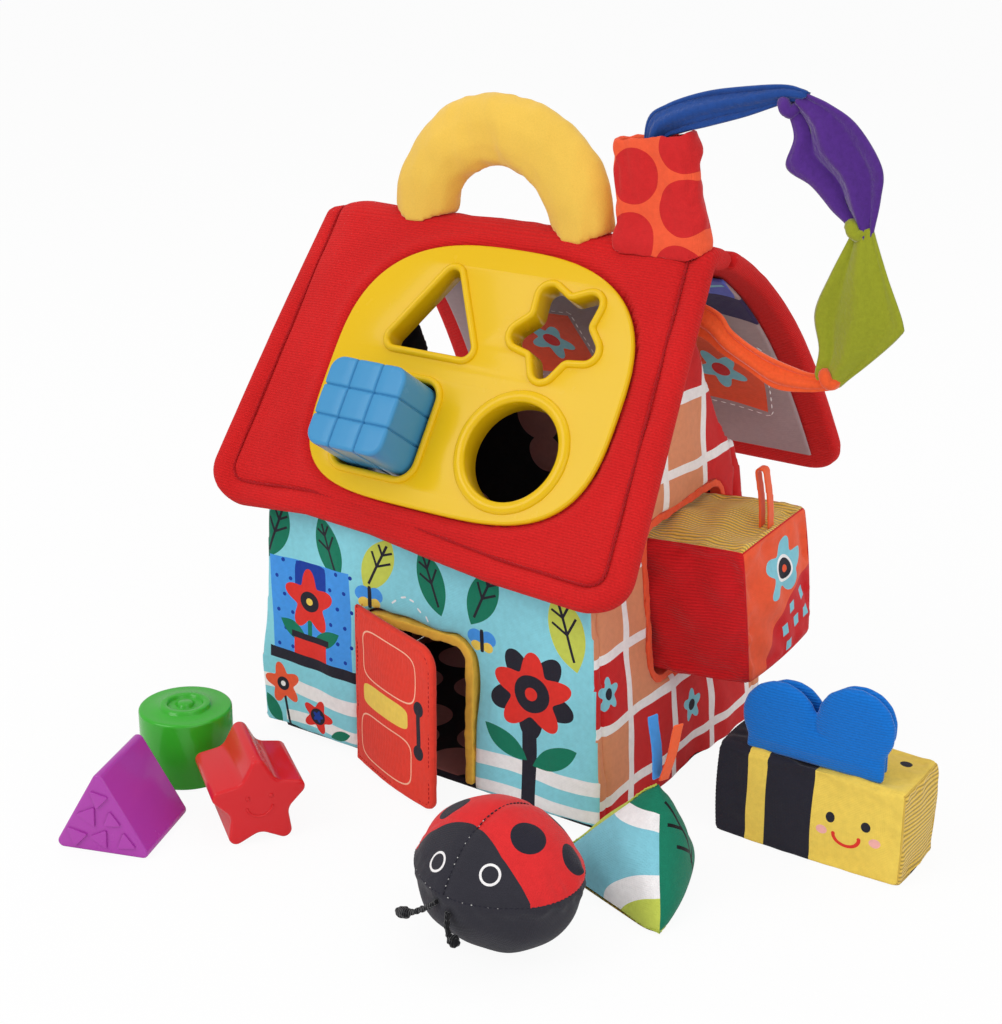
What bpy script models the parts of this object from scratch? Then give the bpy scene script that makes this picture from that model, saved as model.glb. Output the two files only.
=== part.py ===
# A soft activity house: fabric walls, a padded roof with a moulded shape sorter, a stuffed handle,
# a chimney with a chain of kerchiefs, a door, a stuffed block in the side wall, and loose play pieces.
# Units are metres. +Z is up and the door faces -Y. The origin is the middle of the base, on the floor.

import math

import bmesh
import bpy
import numpy as np
from mathutils import Matrix, Vector

# Clearances
touch_gap = 0.0003
roof_seat_gap = 0.0010
cut_overrun = 0.004
floor_trim = 0.0005

# House
house_width = 0.180
house_depth = 0.143
wall_thickness = 0.006
base_thickness = 0.004
base_corner_radius = 0.007
right_lean = math.radians(4.5)
left_lean = math.radians(3.2)
back_lean = math.radians(7.8)
back_eave_height = 0.138
gable_top_height = 0.196
closed_gable_top_height = 0.211
gable_back_y = 0.013
wall_edge_rounding = 0.0012

# Door, its opening and the binding round it
door_hinge_x = -0.0335
door_width = 0.0600
door_height = 0.0735
door_thickness = 0.0034
door_corner_radius = 0.010
door_bottom_height = 0.0015
door_open_angle = math.radians(20.0)
doorway_left = -0.0305
doorway_right = 0.0215
doorway_height = 0.067
doorway_corner_radius = 0.006
binding_width = 0.005
binding_proud = 0.0008
hinge_offset = 0.0025

# Port in the right wall, and the stuffed block in it
block_size = 0.0580
block_crown = 0.0034
block_pinch = 0.0016
block_roll = math.radians(3.0)
block_centre_y = 0.0071
block_centre_height = 0.0868
block_outward = 0.0160
block_port_clearance = 0.0018
block_port_radius = 0.006
soft_edge_radius = 0.004

# Triangular port in the left wall
pyramid_port_side = 0.074
pyramid_port_radius = 0.007
pyramid_port_height = 0.070

# Roof
roof_angle = math.radians(56.0)
roof_apex_y = -0.006
roof_apex_height = 0.2315
eave_distance = 0.1452
roof_thickness = 0.009
crest_radius = 0.0105
crest_back_angle = math.radians(14.0)
crest_tail = 0.009
ridge_left = 0.1045
ridge_right = 0.0940
eave_left = 0.1065
eave_right = 0.1040
roof_corner_radius = 0.018
rim_share = 0.055
ridge_end_sag = 0.005
ridge_sag_start = 0.080
roof_corner_start = 0.089
roof_corner_lift = 0.007
roof_corner_droop = 0.003
eave_wave_x = [-0.100, -0.055, -0.020, 0.010, 0.045, 0.080, 0.104]
eave_wave = [-0.0015, -0.0055, -0.0040, -0.0005, 0.0030, 0.0045, 0.0055]
eave_wave_start = 0.45

# Lifted back flap
flap_length = 0.1555
flap_start_angle = math.radians(24.5)
flap_extra_bend = math.radians(36.0)
flap_thickness = 0.0075
flap_ridge_half = 0.0960
flap_eave_half = 0.1065
flap_hinge_clearance = 0.0004
lining_thickness = 0.0016
lining_inset = 0.013
patch_length = 0.044
patch_width = 0.020
patch_thickness = 0.0012
patch_radius = 0.005
patch_inset = 0.018

# Sorter plate, in the plane of the front slope
plate_centre_x = 0.0065
plate_centre_distance = 0.0695
plate_half_width = 0.0715
plate_half_length = 0.0580
plate_powers = [2.7, 2.7, 4.2, 3.3]
plate_skin = 0.0030
plate_proud = 0.0032
plate_skirt = 0.0022
plate_flange_width = 0.007
plate_flange_thickness = 0.0018
plate_fabric_clearance = 0.0006
collar_depth = 0.0095
collar_wall = 0.0022
bead_width = 0.0032
circle_bead_width = 0.0052
bead_height = 0.0018

# Play shapes and the holes that they pass
shape_clearance = 0.0010
shape_length = 0.038
cube_size = 0.0390
cube_edge_radius = 0.0060
cube_groove_width = 0.0012
cube_groove_depth = 0.0009
cube_stand_out = 0.0235
cylinder_radius = 0.0200
cylinder_height = 0.0310
cylinder_edge_radius = 0.0022
cylinder_ring_radius = 0.0112
cylinder_ring_width = 0.0034
cylinder_ring_height = 0.0016
cylinder_boss_radius = 0.0034
prism_side = 0.0430
prism_edge_radius = 0.0025
prism_relief = 0.0007
prism_mark_side = 0.0066
prism_mark_shares = [(0, 0.28), (-0.11, 0.09), (0.12, 0.07), (-0.25, -0.14), (0, -0.13), (0.25, -0.14)]
star_tip_radius = 0.0235
star_notch_radius = 0.0122
star_tip_rounding = 0.0032
star_notch_rounding = 0.0058
star_edge_radius = 0.0014

# Handle on the ridge
handle_centre_x = -0.0095
handle_arch_radius = 0.0396
handle_arch_height = 0.0372
handle_radius = 0.0147
handle_foot_length = 0.0100
handle_flatness_share = 0.66
handle_tilt = math.radians(10.0)

# Chimney
chimney_centre_x = 0.0710
chimney_centre_y = -0.0030
chimney_width = 0.0400
chimney_depth = 0.0115
chimney_top_height = 0.2740
chimney_wall = 0.0018
chimney_base_flare = 0.0028
chimney_slant = 0.0042
chimney_top_rise = 0.0050
chimney_slot_length = 0.020
chimney_slot_width = 0.0075

# Kerchief chain
kerchief_thickness = 0.0020
knot_radius = 0.0046
chain_y = -0.0030
chain_drift = 0.02
chain_start_x = 0.0650

# Loose stuffed pieces
bee_length = 0.0800
bee_depth = 0.0350
bee_height = 0.0405
bee_crown = 0.0028
bee_pinch = 0.0014
wing_lobe_radius = 0.0162
wing_left_lobe = (-0.0155, 0.0150)
wing_right_lobe = (0.0160, 0.0205)
wing_foot_half = 0.0290
wing_thickness = 0.0034
wing_spacing = 0.0078
wing_rear_shift = 0.0005
wing_rear_scale = 0.92
front_wing_seat_share = 0.16
rear_wing_seat_share = 0.45
wing_inset = 0.0038
ladybird_width = 0.0655
ladybird_length = 0.0550
ladybird_height = 0.0545
ladybird_point = 0.0020
antenna_radius = 0.0011
antenna_routes = {
    "ladybird_left_antenna": [(-0.002, 0, 0.001), (-0.012, -0.001, -0.007), (-0.021, -0.001, -0.011)],
    "ladybird_right_antenna": [(0.003, 0, -0.001), (0.004, -0.001, -0.008), (0.009, -0.001, -0.012)],
}
pyramid_side = 0.0645
pyramid_height = 0.0480
pyramid_crown = 0.0065
pyramid_tip_share = 0.07
pyramid_lean = (0.0055, 0.0020)
ribbon_thickness = 0.0008
ribbon_width = 0.0050
ribbon_length = 0.0260
loop_gap = 0.0030

# Places of the loose pieces on the floor
cylinder_place = (-0.0893, -0.1235)
prism_place = (-0.0750, -0.1770)
prism_turn = math.radians(19.4)
star_place = (-0.0380, -0.1405)
star_turn = math.radians(53.9)
bee_place = (0.1632, -0.0195)
bee_turn = math.radians(0.5)
ladybird_place = (0.0940, -0.1520)
ladybird_turn = math.radians(-8.0)
pyramid_place = (0.1164, -0.0946)
pyramid_turn = math.radians(-20.2)


def clear_scene():
    for found in list(bpy.data.objects):
        bpy.data.objects.remove(found, do_unlink=True)


def new_collection(name):
    collection = bpy.data.collections.new(name)
    bpy.context.scene.collection.children.link(collection)
    return collection


clear_scene()
parts = new_collection("activity_house")
cutters = new_collection("cutters")
cutters.hide_render = True


def material(name, colour, roughness):
    """A Principled material from an sRGB colour of 0 to 255."""
    linear = [((part / 255 + 0.055) / 1.055) ** 2.4 for part in colour]
    made = bpy.data.materials.new(name)
    made.use_nodes = True
    shader = made.node_tree.nodes["Principled BSDF"]
    shader.inputs["Base Color"].default_value = (*linear, 1)
    shader.inputs["Roughness"].default_value = roughness
    shader.inputs["Metallic"].default_value = 0
    made.diffuse_color = (*linear, 1)
    return made


red_fleece = material("red fleece", (205, 30, 35), 0.95)
yellow_plastic = material("yellow plastic", (235, 195, 30), 0.25)
yellow_plush = material("yellow plush", (235, 195, 85), 0.95)
sky_cotton = material("sky print cotton", (130, 205, 220), 0.9)
check_cotton = material("check print cotton", (200, 45, 45), 0.9)
navy_cotton = material("navy cotton", (38, 38, 50), 0.9)
mustard_cotton = material("mustard cotton", (222, 170, 60), 0.9)
orange_cotton = material("orange cotton", (240, 90, 50), 0.9)
door_cotton = material("door cotton", (230, 65, 50), 0.9)
red_cotton = material("red cotton", (190, 25, 35), 0.9)
lining_cotton = material("lining cotton", (150, 130, 130), 0.85)
patch_fabric = material("closure patch fabric", (205, 205, 205), 0.95)
chimney_cotton = material("chimney cotton", (240, 95, 60), 0.85)
blue_plush = material("blue plush", (40, 85, 165), 0.95)
purple_plush = material("purple plush", (85, 45, 130), 0.95)
green_satin = material("green satin", (150, 165, 35), 0.5)
orange_satin = material("orange satin", (250, 105, 45), 0.6)
block_cotton = material("block cotton", (165, 20, 30), 0.9)
bee_cotton = material("bee cotton", (228, 200, 95), 0.9)
wing_cord = material("wing corduroy", (20, 110, 200), 0.9)
ladybird_cotton = material("ladybird cotton", (220, 50, 50), 0.9)
black_cord = material("black cord", (35, 35, 40), 0.7)
pyramid_cotton = material("pyramid cotton", (20, 135, 100), 0.9)
blue_ribbon = material("blue ribbon", (70, 145, 220), 0.5)
orange_ribbon = material("orange ribbon", (235, 85, 40), 0.5)
blue_plastic = material("blue plastic", (60, 135, 200), 0.25)
green_plastic = material("green plastic", (60, 165, 50), 0.25)
purple_plastic = material("purple plastic", (150, 50, 150), 0.25)
red_plastic = material("red plastic", (215, 40, 45), 0.25)


def add_object(name, mesh, look, matrix=None):
    """Adds a visible sub-part, or a hidden cutter where no material is given."""
    made = bpy.data.objects.new(name, mesh)
    made.matrix_world = matrix or Matrix()
    if look:
        mesh.materials.clear()
        mesh.materials.append(look)
        parts.objects.link(made)
    else:
        cutters.objects.link(made)
        made.hide_render = True
        made.display_type = "WIRE"
    return made


def finish_bmesh(name, bm, look, matrix=None, smooth=True):
    bmesh.ops.recalc_face_normals(bm, faces=bm.faces)
    mesh = bpy.data.meshes.new(name)
    bm.to_mesh(mesh)
    bm.free()
    if smooth:
        mesh.shade_smooth()
        mesh.set_sharp_from_angle(angle=math.radians(40))
    return add_object(name, mesh, look, matrix)


def evaluated_mesh(source):
    bpy.context.view_layer.update()
    graph = bpy.context.evaluated_depsgraph_get()
    return bpy.data.meshes.new_from_object(source.evaluated_get(graph))


def curve_to_solid(name, curve, look, matrix, smooth=True):
    """Makes a welded mesh object from curve data whose caps are loose."""
    source = bpy.data.objects.new(name + " outline", curve)
    cutters.objects.link(source)
    mesh = evaluated_mesh(source)
    bpy.data.objects.remove(source, do_unlink=True)
    bm = bmesh.new()
    bm.from_mesh(mesh)
    bpy.data.meshes.remove(mesh)
    bmesh.ops.remove_doubles(bm, verts=bm.verts, dist=1e-6)
    return finish_bmesh(name, bm, look, matrix, smooth)


def flat_solid(name, outlines, thickness, look, matrix=None, rounding=0.0):
    """A flat piece from closed outlines: the first is the border, the others are holes."""
    curve = bpy.data.curves.new(name, "CURVE")
    curve.dimensions = "2D"
    curve.fill_mode = "BOTH"
    curve.extrude = thickness / 2 - rounding
    curve.bevel_depth = rounding
    curve.bevel_resolution = 1
    curve.offset = -rounding
    for outline in outlines:
        spline = curve.splines.new("POLY")
        spline.points.add(len(outline) - 1)
        for point, place in zip(spline.points, outline):
            point.co = (place[0], place[1], 0, 1)
        spline.use_cyclic_u = True
    return curve_to_solid(name, curve, look, matrix)


def tube(name, places, radii, look, matrix=None, resolution=2):
    """A round tube through places, with a radius at each."""
    curve = bpy.data.curves.new(name, "CURVE")
    curve.dimensions = "3D"
    curve.bevel_depth = 1
    curve.bevel_resolution = resolution
    curve.use_fill_caps = True
    spline = curve.splines.new("POLY")
    spline.points.add(len(places) - 1)
    for point, place, radius in zip(spline.points, places, radii):
        point.co = (*place, 1)
        point.radius = radius
    return curve_to_solid(name, curve, look, matrix)


def boolean(made, cutter, operation="DIFFERENCE"):
    modifier = made.modifiers.new(cutter.name, "BOOLEAN")
    modifier.operation = operation
    modifier.solver = "EXACT"
    modifier.object = cutter
    return made


def subdivide(made, levels=1):
    modifier = made.modifiers.new("Soft form", "SUBSURF")
    modifier.levels = levels
    modifier.render_levels = levels
    return made


def bevel(made, width, segments=2, angle=math.radians(40)):
    modifier = made.modifiers.new("Rounded edges", "BEVEL")
    modifier.width = width
    modifier.segments = segments
    modifier.limit_method = "ANGLE"
    modifier.angle_limit = angle
    return made


def plane_frame(origin, across, up):
    """A matrix whose X runs across a wall, Y up it, and Z out of its outer face."""
    across = Vector(across).normalized()
    up = Vector(up).normalized()
    outward = across.cross(up)
    rotation = Matrix((across, up, outward)).transposed().to_4x4()
    return Matrix.Translation(origin) @ rotation


def rounded_outline(corners, radii, steps=5):
    """Points of an anticlockwise outline with round corners, each with its outward normal."""
    outline = []
    for index, place in enumerate(corners):
        corner = Vector(place)
        back = (Vector(corners[index - 1]) - corner).normalized()
        ahead = (Vector(corners[(index + 1) % len(corners)]) - corner).normalized()
        half = back.angle(ahead) / 2
        radius = radii[index]
        middle = corner + (back + ahead).normalized() * radius / math.sin(half)
        first_arm = corner + back * radius / math.tan(half) - middle
        side = 1 if ahead.cross(back) > 0 else -1
        for step in range(steps + 1):
            arm = first_arm.copy()
            arm.rotate(Matrix.Rotation(side * (math.pi - 2 * half) * step / steps, 2))
            outline.append((middle + arm, arm.normalized() * side))
    return outline


def regular_corners(count, radius, first_angle):
    turns = [first_angle + math.tau * k / count for k in range(count)]
    return [(radius * math.cos(turn), radius * math.sin(turn)) for turn in turns]


def star_corners(tip_radius, notch_radius, first_angle):
    tips = regular_corners(5, tip_radius, first_angle)
    notches = regular_corners(5, notch_radius, first_angle + math.pi / 5)
    return [corner for pair in zip(tips, notches) for corner in pair]


def rectangle_corners(left, right, low, high):
    return [(left, low), (right, low), (right, high), (left, high)]


def moved(outline, centre):
    return [(point + Vector(centre), normal) for point, normal in outline]


def offset(outline, distance):
    return [point + normal * distance for point, normal in outline]


def ring_loft(name, outline, profile, look, matrix=None):
    """A closed ring: each point of the outline carries the profile, as (distance out, height)."""
    bm = bmesh.new()
    loops = []
    for point, normal in outline:
        places = [point + normal * out for out, height in profile]
        heights = [height for out, height in profile]
        loops.append([bm.verts.new((*place, z)) for place, z in zip(places, heights)])
    for loop, following in zip(loops, loops[1:] + loops[:1]):
        for k in range(len(profile)):
            after = (k + 1) % len(profile)
            bm.faces.new((loop[k], following[k], following[after], loop[after]))
    return finish_bmesh(name, bm, look, matrix)


def stuffed_block(name, size, crown, pinch, edge, look, matrix):
    """A stuffed cuboid: its faces crown, and its seams are drawn in between the corners."""
    bm = bmesh.new()
    bmesh.ops.create_cube(bm, size=2)
    bmesh.ops.subdivide_edges(bm, edges=bm.edges, cuts=5, use_grid_fill=True)
    for vert in bm.verts:
        unit = vert.co.copy()
        fall = [1 - unit[k] ** 2 for k in range(3)]
        for k in range(3):
            first, second = fall[k - 1], fall[k - 2]
            swell = crown * first * second - pinch * (first + second) / 2
            spare = (size[k] / 2 - edge) * unit[k]
            vert.co[k] = spare + unit[k] * (edge + swell * abs(unit[k]))
    made = finish_bmesh(name, bm, look, matrix)
    return subdivide(bevel(made, edge, 1, math.radians(60)), 0)


def floor_cut(made):
    """Trims the underside flat where a stuffed piece rests on the floor."""
    return boolean(made, floor_cutter)


def build_floor_cutter():
    bm = bmesh.new()
    bmesh.ops.create_cube(bm, size=1)
    reach = house_width * 4
    depth = house_width / 4
    bmesh.ops.scale(bm, verts=bm.verts, vec=(reach, reach, depth))
    return finish_bmesh("floor_cutter", bm, None, Matrix.Translation((0, 0, -depth / 2)), False)


floor_cutter = build_floor_cutter()

# Planes of the walls and of the front slope
half_width = house_width / 2
half_depth = house_depth / 2
wall_bottom = base_thickness + touch_gap
front_frame = plane_frame((0, -half_depth + wall_thickness / 2, 0), (1, 0, 0), (0, 0, 1))
back_up = (0, -math.sin(back_lean), math.cos(back_lean))
back_out = Vector((0, math.cos(back_lean), math.sin(back_lean)))
back_frame = plane_frame(
    Vector((0, half_depth, 0)) - back_out * wall_thickness / 2, (-1, 0, 0), back_up
)


def lean(side):
    return right_lean if side > 0 else left_lean


def wall_face_x(side, height):
    """Where the outer face of a gable wall is at a height: side is 1 for the right wall, else -1."""
    return side * (half_width - height * math.tan(lean(side)))


def side_wall_frame(side):
    """The mid plane of a gable wall, with its X along the wall and its Y up it."""
    out = Vector((side * math.cos(lean(side)), 0, math.sin(lean(side))))
    up = (-side * math.sin(lean(side)), 0, math.cos(lean(side)))
    origin = Vector((side * half_width, 0, 0)) - out * wall_thickness / 2
    return plane_frame(origin, (0, side, 0), up)


slope_frame = Matrix.Translation((0, roof_apex_y, roof_apex_height)) @ Matrix.Rotation(
    roof_angle, 4, "X"
)
slope_out = Vector((0, -math.sin(roof_angle), math.cos(roof_angle)))
slope_down = Vector((0, -math.cos(roof_angle), -math.sin(roof_angle)))


def under_roof_height(y):
    """Height of the front roof panel's underside over a place y."""
    edge_y = roof_apex_y + roof_thickness * math.sin(roof_angle)
    edge_height = roof_apex_height - roof_thickness * math.cos(roof_angle)
    return edge_height + (y - edge_y) * math.tan(roof_angle)


def under_roof_y(height):
    reference = under_roof_height(0)
    return (height - reference) / math.tan(roof_angle)


def build_floor():
    corners = rectangle_corners(-half_width, half_width, -half_depth, half_depth)
    outline = rounded_outline(corners, [base_corner_radius] * 4)
    place = Matrix.Translation((0, 0, base_thickness / 2))
    flat_solid("floor_panel", [offset(outline, 0)], base_thickness, navy_cotton, place)


def build_front_wall():
    high = under_roof_height(-half_depth) - roof_seat_gap / math.cos(roof_angle)
    left = doorway_left - binding_width - touch_gap
    right = doorway_right + binding_width + touch_gap
    top = doorway_height + binding_width + touch_gap
    corners = [
        (wall_face_x(-1, wall_bottom), wall_bottom),
        (left, wall_bottom),
        (left, top),
        (right, top),
        (right, wall_bottom),
        (wall_face_x(1, wall_bottom), wall_bottom),
        (wall_face_x(1, high), high),
        (wall_face_x(-1, high), high),
    ]
    sharp = wall_edge_rounding
    turn = doorway_corner_radius + binding_width
    radii = [sharp, sharp, turn, turn, sharp, sharp, sharp, sharp]
    outline = offset(rounded_outline(corners, radii), 0)
    wall = flat_solid("front_wall", [outline], wall_thickness, sky_cotton, front_frame)
    boolean(wall, flange_clearance)


def build_door_surround():
    outer_left = doorway_left - binding_width
    outer_right = doorway_right + binding_width
    outer_top = doorway_height + binding_width
    corners = [
        (outer_left, wall_bottom),
        (doorway_left, wall_bottom),
        (doorway_left, doorway_height),
        (doorway_right, doorway_height),
        (doorway_right, wall_bottom),
        (outer_right, wall_bottom),
        (outer_right, outer_top),
        (outer_left, outer_top),
    ]
    sharp = wall_edge_rounding
    turn = doorway_corner_radius
    wide_turn = doorway_corner_radius + binding_width
    radii = [sharp, sharp, turn, turn, sharp, sharp, wide_turn, wide_turn]
    outline = offset(rounded_outline(corners, radii), 0)
    depth = wall_thickness + 2 * binding_proud
    flat_solid("door_surround", [outline], depth, mustard_cotton, front_frame)


def build_back_wall():
    top = back_eave_height / math.cos(back_lean)
    low = (wall_bottom + wall_thickness * math.sin(back_lean)) / math.cos(back_lean)
    corners = [
        (-wall_face_x(1, wall_bottom), low),
        (-wall_face_x(-1, wall_bottom), low),
        (-wall_face_x(-1, back_eave_height), top),
        (-wall_face_x(1, back_eave_height), top),
    ]
    outline = offset(rounded_outline(corners, [wall_edge_rounding] * 4), 0)
    flat_solid("back_wall", [outline], wall_thickness, check_cotton, back_frame)


def back_wall_inner_y(height):
    reach = half_depth - wall_thickness / math.cos(back_lean)
    return reach - height * math.tan(back_lean)


def gable_corners(top_height):
    """Corners of a gable as (y, height): up the front, along the slope, over the top and down."""
    front_y = -half_depth + wall_thickness + touch_gap
    slope_gap = roof_seat_gap / math.cos(roof_angle)
    front_high = under_roof_height(front_y) - slope_gap
    top_front_y = under_roof_y(top_height + slope_gap)
    eave_y = back_wall_inner_y(back_eave_height) - touch_gap
    back_slope = (gable_top_height - back_eave_height) / (eave_y - gable_back_y)
    top_back_y = gable_back_y + (gable_top_height - top_height) / back_slope
    low_y = back_wall_inner_y(wall_bottom) - touch_gap
    return [
        (front_y, wall_bottom),
        (low_y, wall_bottom),
        (eave_y, back_eave_height),
        (top_back_y, top_height),
        (top_front_y, top_height),
        (front_y, front_high),
    ]


def gable_outline(side, top_height):
    up_scale = 1 / math.cos(lean(side))
    rise = wall_thickness * math.sin(lean(side))
    corners = [(side * y, z * up_scale) for y, z in gable_corners(top_height)]
    corners[0] = (corners[0][0], corners[0][1] + rise)
    corners[1] = (corners[1][0], corners[1][1] + rise)
    if side < 0:
        corners.reverse()
    return offset(rounded_outline(corners, [wall_edge_rounding * 2] * 6), 0)


def block_port(margin):
    """Outline of the square port in the right wall, in the wall's plane."""
    half = block_size / 2 + block_port_clearance + margin
    radius = block_port_radius + margin
    square = rounded_outline(rectangle_corners(-half, half, -half, half), [radius] * 4)
    turn = Matrix.Rotation(block_roll, 2)
    place = Vector((block_centre_y, block_centre_height / math.cos(right_lean)))
    return [(turn @ point + place, turn @ normal) for point, normal in square]


def pyramid_port(margin):
    """Outline of the triangular port in the left wall, in the wall's plane."""
    radius = pyramid_port_side / math.sqrt(3) + 2 * margin
    corners = regular_corners(3, radius, math.pi / 2)
    outline = rounded_outline(corners, [pyramid_port_radius + margin] * 3)
    return moved(outline, (0, pyramid_port_height / math.cos(left_lean)))


def build_gable_wall(name, side, top_height, port):
    hole = offset(port(binding_width + touch_gap), 0)
    outlines = [gable_outline(side, top_height), hole]
    wall = flat_solid(name, outlines, wall_thickness, check_cotton, side_wall_frame(side))
    boolean(wall, flange_clearance)


def build_port_binding(name, side, port, look):
    outlines = [offset(port(binding_width), 0), offset(port(0), 0)]
    depth = wall_thickness + 2 * binding_proud
    flat_solid(name, outlines, depth, look, side_wall_frame(side))


# Roof section: a path of mid points, from the front eave over the crest to the flap's hinge
mid_depth = roof_thickness / 2
crest_mid_radius = crest_radius - mid_depth
crest_turn = roof_angle + crest_back_angle
crest_arc = crest_mid_radius * crest_turn
slope_length = eave_distance - crest_radius * math.tan(roof_angle / 2) * 0.9
roof_path_length = slope_length + crest_arc + crest_tail


def roof_path(travel):
    """Place and outward normal at a distance along the mid line, from the eave upwards."""
    eave = Vector((roof_apex_y, roof_apex_height)) + eave_distance * Vector(
        (slope_down.y, slope_down.z)
    )
    out = Vector((slope_out.y, slope_out.z))
    uphill = -Vector((slope_down.y, slope_down.z))
    place = eave - out * mid_depth
    if travel <= slope_length:
        return place + uphill * travel, out
    place = place + uphill * slope_length
    centre = place - out * crest_mid_radius
    turn = min((travel - slope_length) / crest_mid_radius, crest_turn)
    out = out.copy()
    out.rotate(Matrix.Rotation(-turn, 2))
    place = centre + out * crest_mid_radius
    tail = max(0, travel - slope_length - crest_arc)
    return place + Vector((out.y, -out.x)) * tail, out


flap_heel = flap_thickness / 2
hinge_reach = roof_path_length + flap_heel + flap_hinge_clearance
flap_hinge = roof_path(hinge_reach)[0]


def flap_path(travel):
    """Place and outward normal along the lifted flap: 0 is at its hinge, inside its round heel."""
    steps = 24
    place = flap_hinge.copy()
    for step in range(steps):
        share = travel / flap_length * (step + 0.5) / steps
        angle = flap_start_angle + flap_extra_bend * (1 - (1 - share) ** 2)
        place += Vector((math.cos(angle), -math.sin(angle))) * travel / steps
    share = travel / flap_length
    angle = flap_start_angle + flap_extra_bend * (1 - (1 - share) ** 2)
    return place, Vector((math.sin(angle), math.cos(angle)))


def corner_pull(unit_x, unit_y, half_x, half_y, radius):
    """Moves a place in a rectangle so that the corners of its grid come round."""
    x, y = unit_x * half_x, unit_y * half_y
    over_x = abs(x) - (half_x - radius)
    over_y = abs(y) - (half_y - radius)
    if over_x > 0 and over_y > 0:
        shrink = max(over_x, over_y) / math.hypot(over_x, over_y)
        x = math.copysign(half_x - radius + over_x * shrink, x)
        y = math.copysign(half_y - radius + over_y * shrink, y)
    return x, y


def even_stations(cells):
    """Grid lines from -1 to 1 whose outermost cells are narrow, so that softening keeps the size."""
    inner = np.linspace(rim_share - 1, 1 - rim_share, cells - 1)
    return [-1.0, *inner, 1.0]


def padded_panel(name, across, along, place, thickness, look):
    """A padded cloth panel: grid lines laid by place(across, along), made thick, then softened."""
    columns, rows = len(across) - 1, len(along) - 1
    bm = bmesh.new()
    bmesh.ops.create_grid(bm, x_segments=columns, y_segments=rows, size=1)
    for vert in bm.verts:
        column = round((vert.co.x + 1) / 2 * columns)
        row = round((vert.co.y + 1) / 2 * rows)
        vert.co = place(across[column], along[row])
    made = finish_bmesh(name, bm, look)
    solidify = made.modifiers.new("Padding", "SOLIDIFY")
    solidify.thickness = thickness
    solidify.offset = 0
    return subdivide(made)


def roof_rows():
    """Grid lines along the roof path, closer together round the crest."""
    rim = rim_share * slope_length
    slope = [0, rim, *np.linspace(rim, slope_length - crest_radius / 4, 7)[1:]]
    arc = [slope_length + crest_arc * share for share in (0.12, 0.5, 0.88)]
    tail = [roof_path_length - crest_tail * 0.55, roof_path_length - crest_tail * 0.15]
    stations = slope + arc + tail + [roof_path_length]
    return [2 * station / roof_path_length - 1 for station in stations]


def smooth_rise(value, start, end):
    share = min(max((value - start) / (end - start), 0), 1)
    return share * share * (3 - 2 * share)


def roof_place(unit_x, unit_y):
    half_length = roof_path_length / 2
    ridge_half = ridge_left if unit_x < 0 else ridge_right
    eave_half = eave_left if unit_x < 0 else eave_right
    if unit_y < 0:
        x, along = corner_pull(unit_x, unit_y, ridge_half, half_length, roof_corner_radius)
    else:
        x, along = unit_x * ridge_half, unit_y * half_length
    travel = along + half_length
    down_share = 1 - min(travel / slope_length, 1)
    x *= 1 + (eave_half / ridge_half - 1) * down_share
    wave_share = smooth_rise(down_share, eave_wave_start, 1)
    travel -= float(np.interp(x, eave_wave_x, eave_wave)) * wave_share
    place, out = roof_path(travel)
    left = smooth_rise(-x, roof_corner_start, eave_left)
    right = smooth_rise(x, roof_corner_start, eave_right)
    lift = (roof_corner_lift * left - roof_corner_droop * right) * down_share
    sag = ridge_end_sag * smooth_rise(-x, ridge_sag_start, ridge_left) * (1 - down_share) ** 2
    place = place + out * (lift - sag)
    return (x, place.x, place.y)


def plate_outline(steps=44):
    """A rounded square whose four corners are not equally round, with its outward normals."""
    outline = []
    for step in range(steps):
        turn = math.tau * step / steps
        cosine, sine = math.cos(turn), math.sin(turn)
        power = plate_powers[int(4 * step / steps)]
        reach = (abs(cosine) ** power + abs(sine) ** power) ** (-1 / power)
        unit = Vector((cosine, sine)) * reach
        place = Vector((unit.x * plate_half_width, unit.y * plate_half_length))
        slope_x = math.copysign(abs(unit.x) ** (power - 1), unit.x) / plate_half_width
        slope_y = math.copysign(abs(unit.y) ** (power - 1), unit.y) / plate_half_length
        outline.append((place, Vector((slope_x, slope_y)).normalized()))
    return moved(outline, plate_centre)


plate_centre = (plate_centre_x, -plate_centre_distance)
square_hole_centre = (-0.0258, -0.0957)
circle_hole_centre = (0.0375, -0.0960)
triangle_hole_centre = (-0.0178, -0.0480)
star_hole_centre = (0.0400, -0.0435)
star_first_angle = math.radians(51.0)


def square_outline(margin):
    half = cube_size / 2 + margin
    corners = rectangle_corners(-half, half, -half, half)
    return rounded_outline(corners, [cube_edge_radius + margin] * 4, 4)


def circle_outline(margin, steps=30):
    turns = [math.tau * step / steps for step in range(steps)]
    normals = [Vector((math.cos(turn), math.sin(turn))) for turn in turns]
    return [(normal * (cylinder_radius + margin), normal) for normal in normals]


def triangle_outline(margin):
    radius = prism_side / math.sqrt(3) + 2 * margin
    corners = regular_corners(3, radius, math.pi / 2)
    return rounded_outline(corners, [prism_edge_radius + margin] * 3, 4)


def star_outline(margin, first_angle=star_first_angle, steps=3):
    corners = star_corners(star_tip_radius, star_notch_radius, first_angle)
    radii = [star_tip_rounding, star_notch_rounding] * 5
    sharp = rounded_outline(corners, radii, steps)
    return [(point + normal * margin, normal) for point, normal in sharp]


def build_flange_clearance():
    """A slab as wide as the plate's hidden flange, which lowers the wall tops under it."""
    outline = offset(plate_outline(), plate_flange_width + touch_gap * 2)
    height = plate_flange_thickness + touch_gap * 4
    centre = -roof_thickness - roof_seat_gap - plate_flange_thickness / 2
    place = slope_frame @ Matrix.Translation((0, 0, centre))
    return flat_solid("flange_clearance_cutter", [outline], height, None, place)


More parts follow.
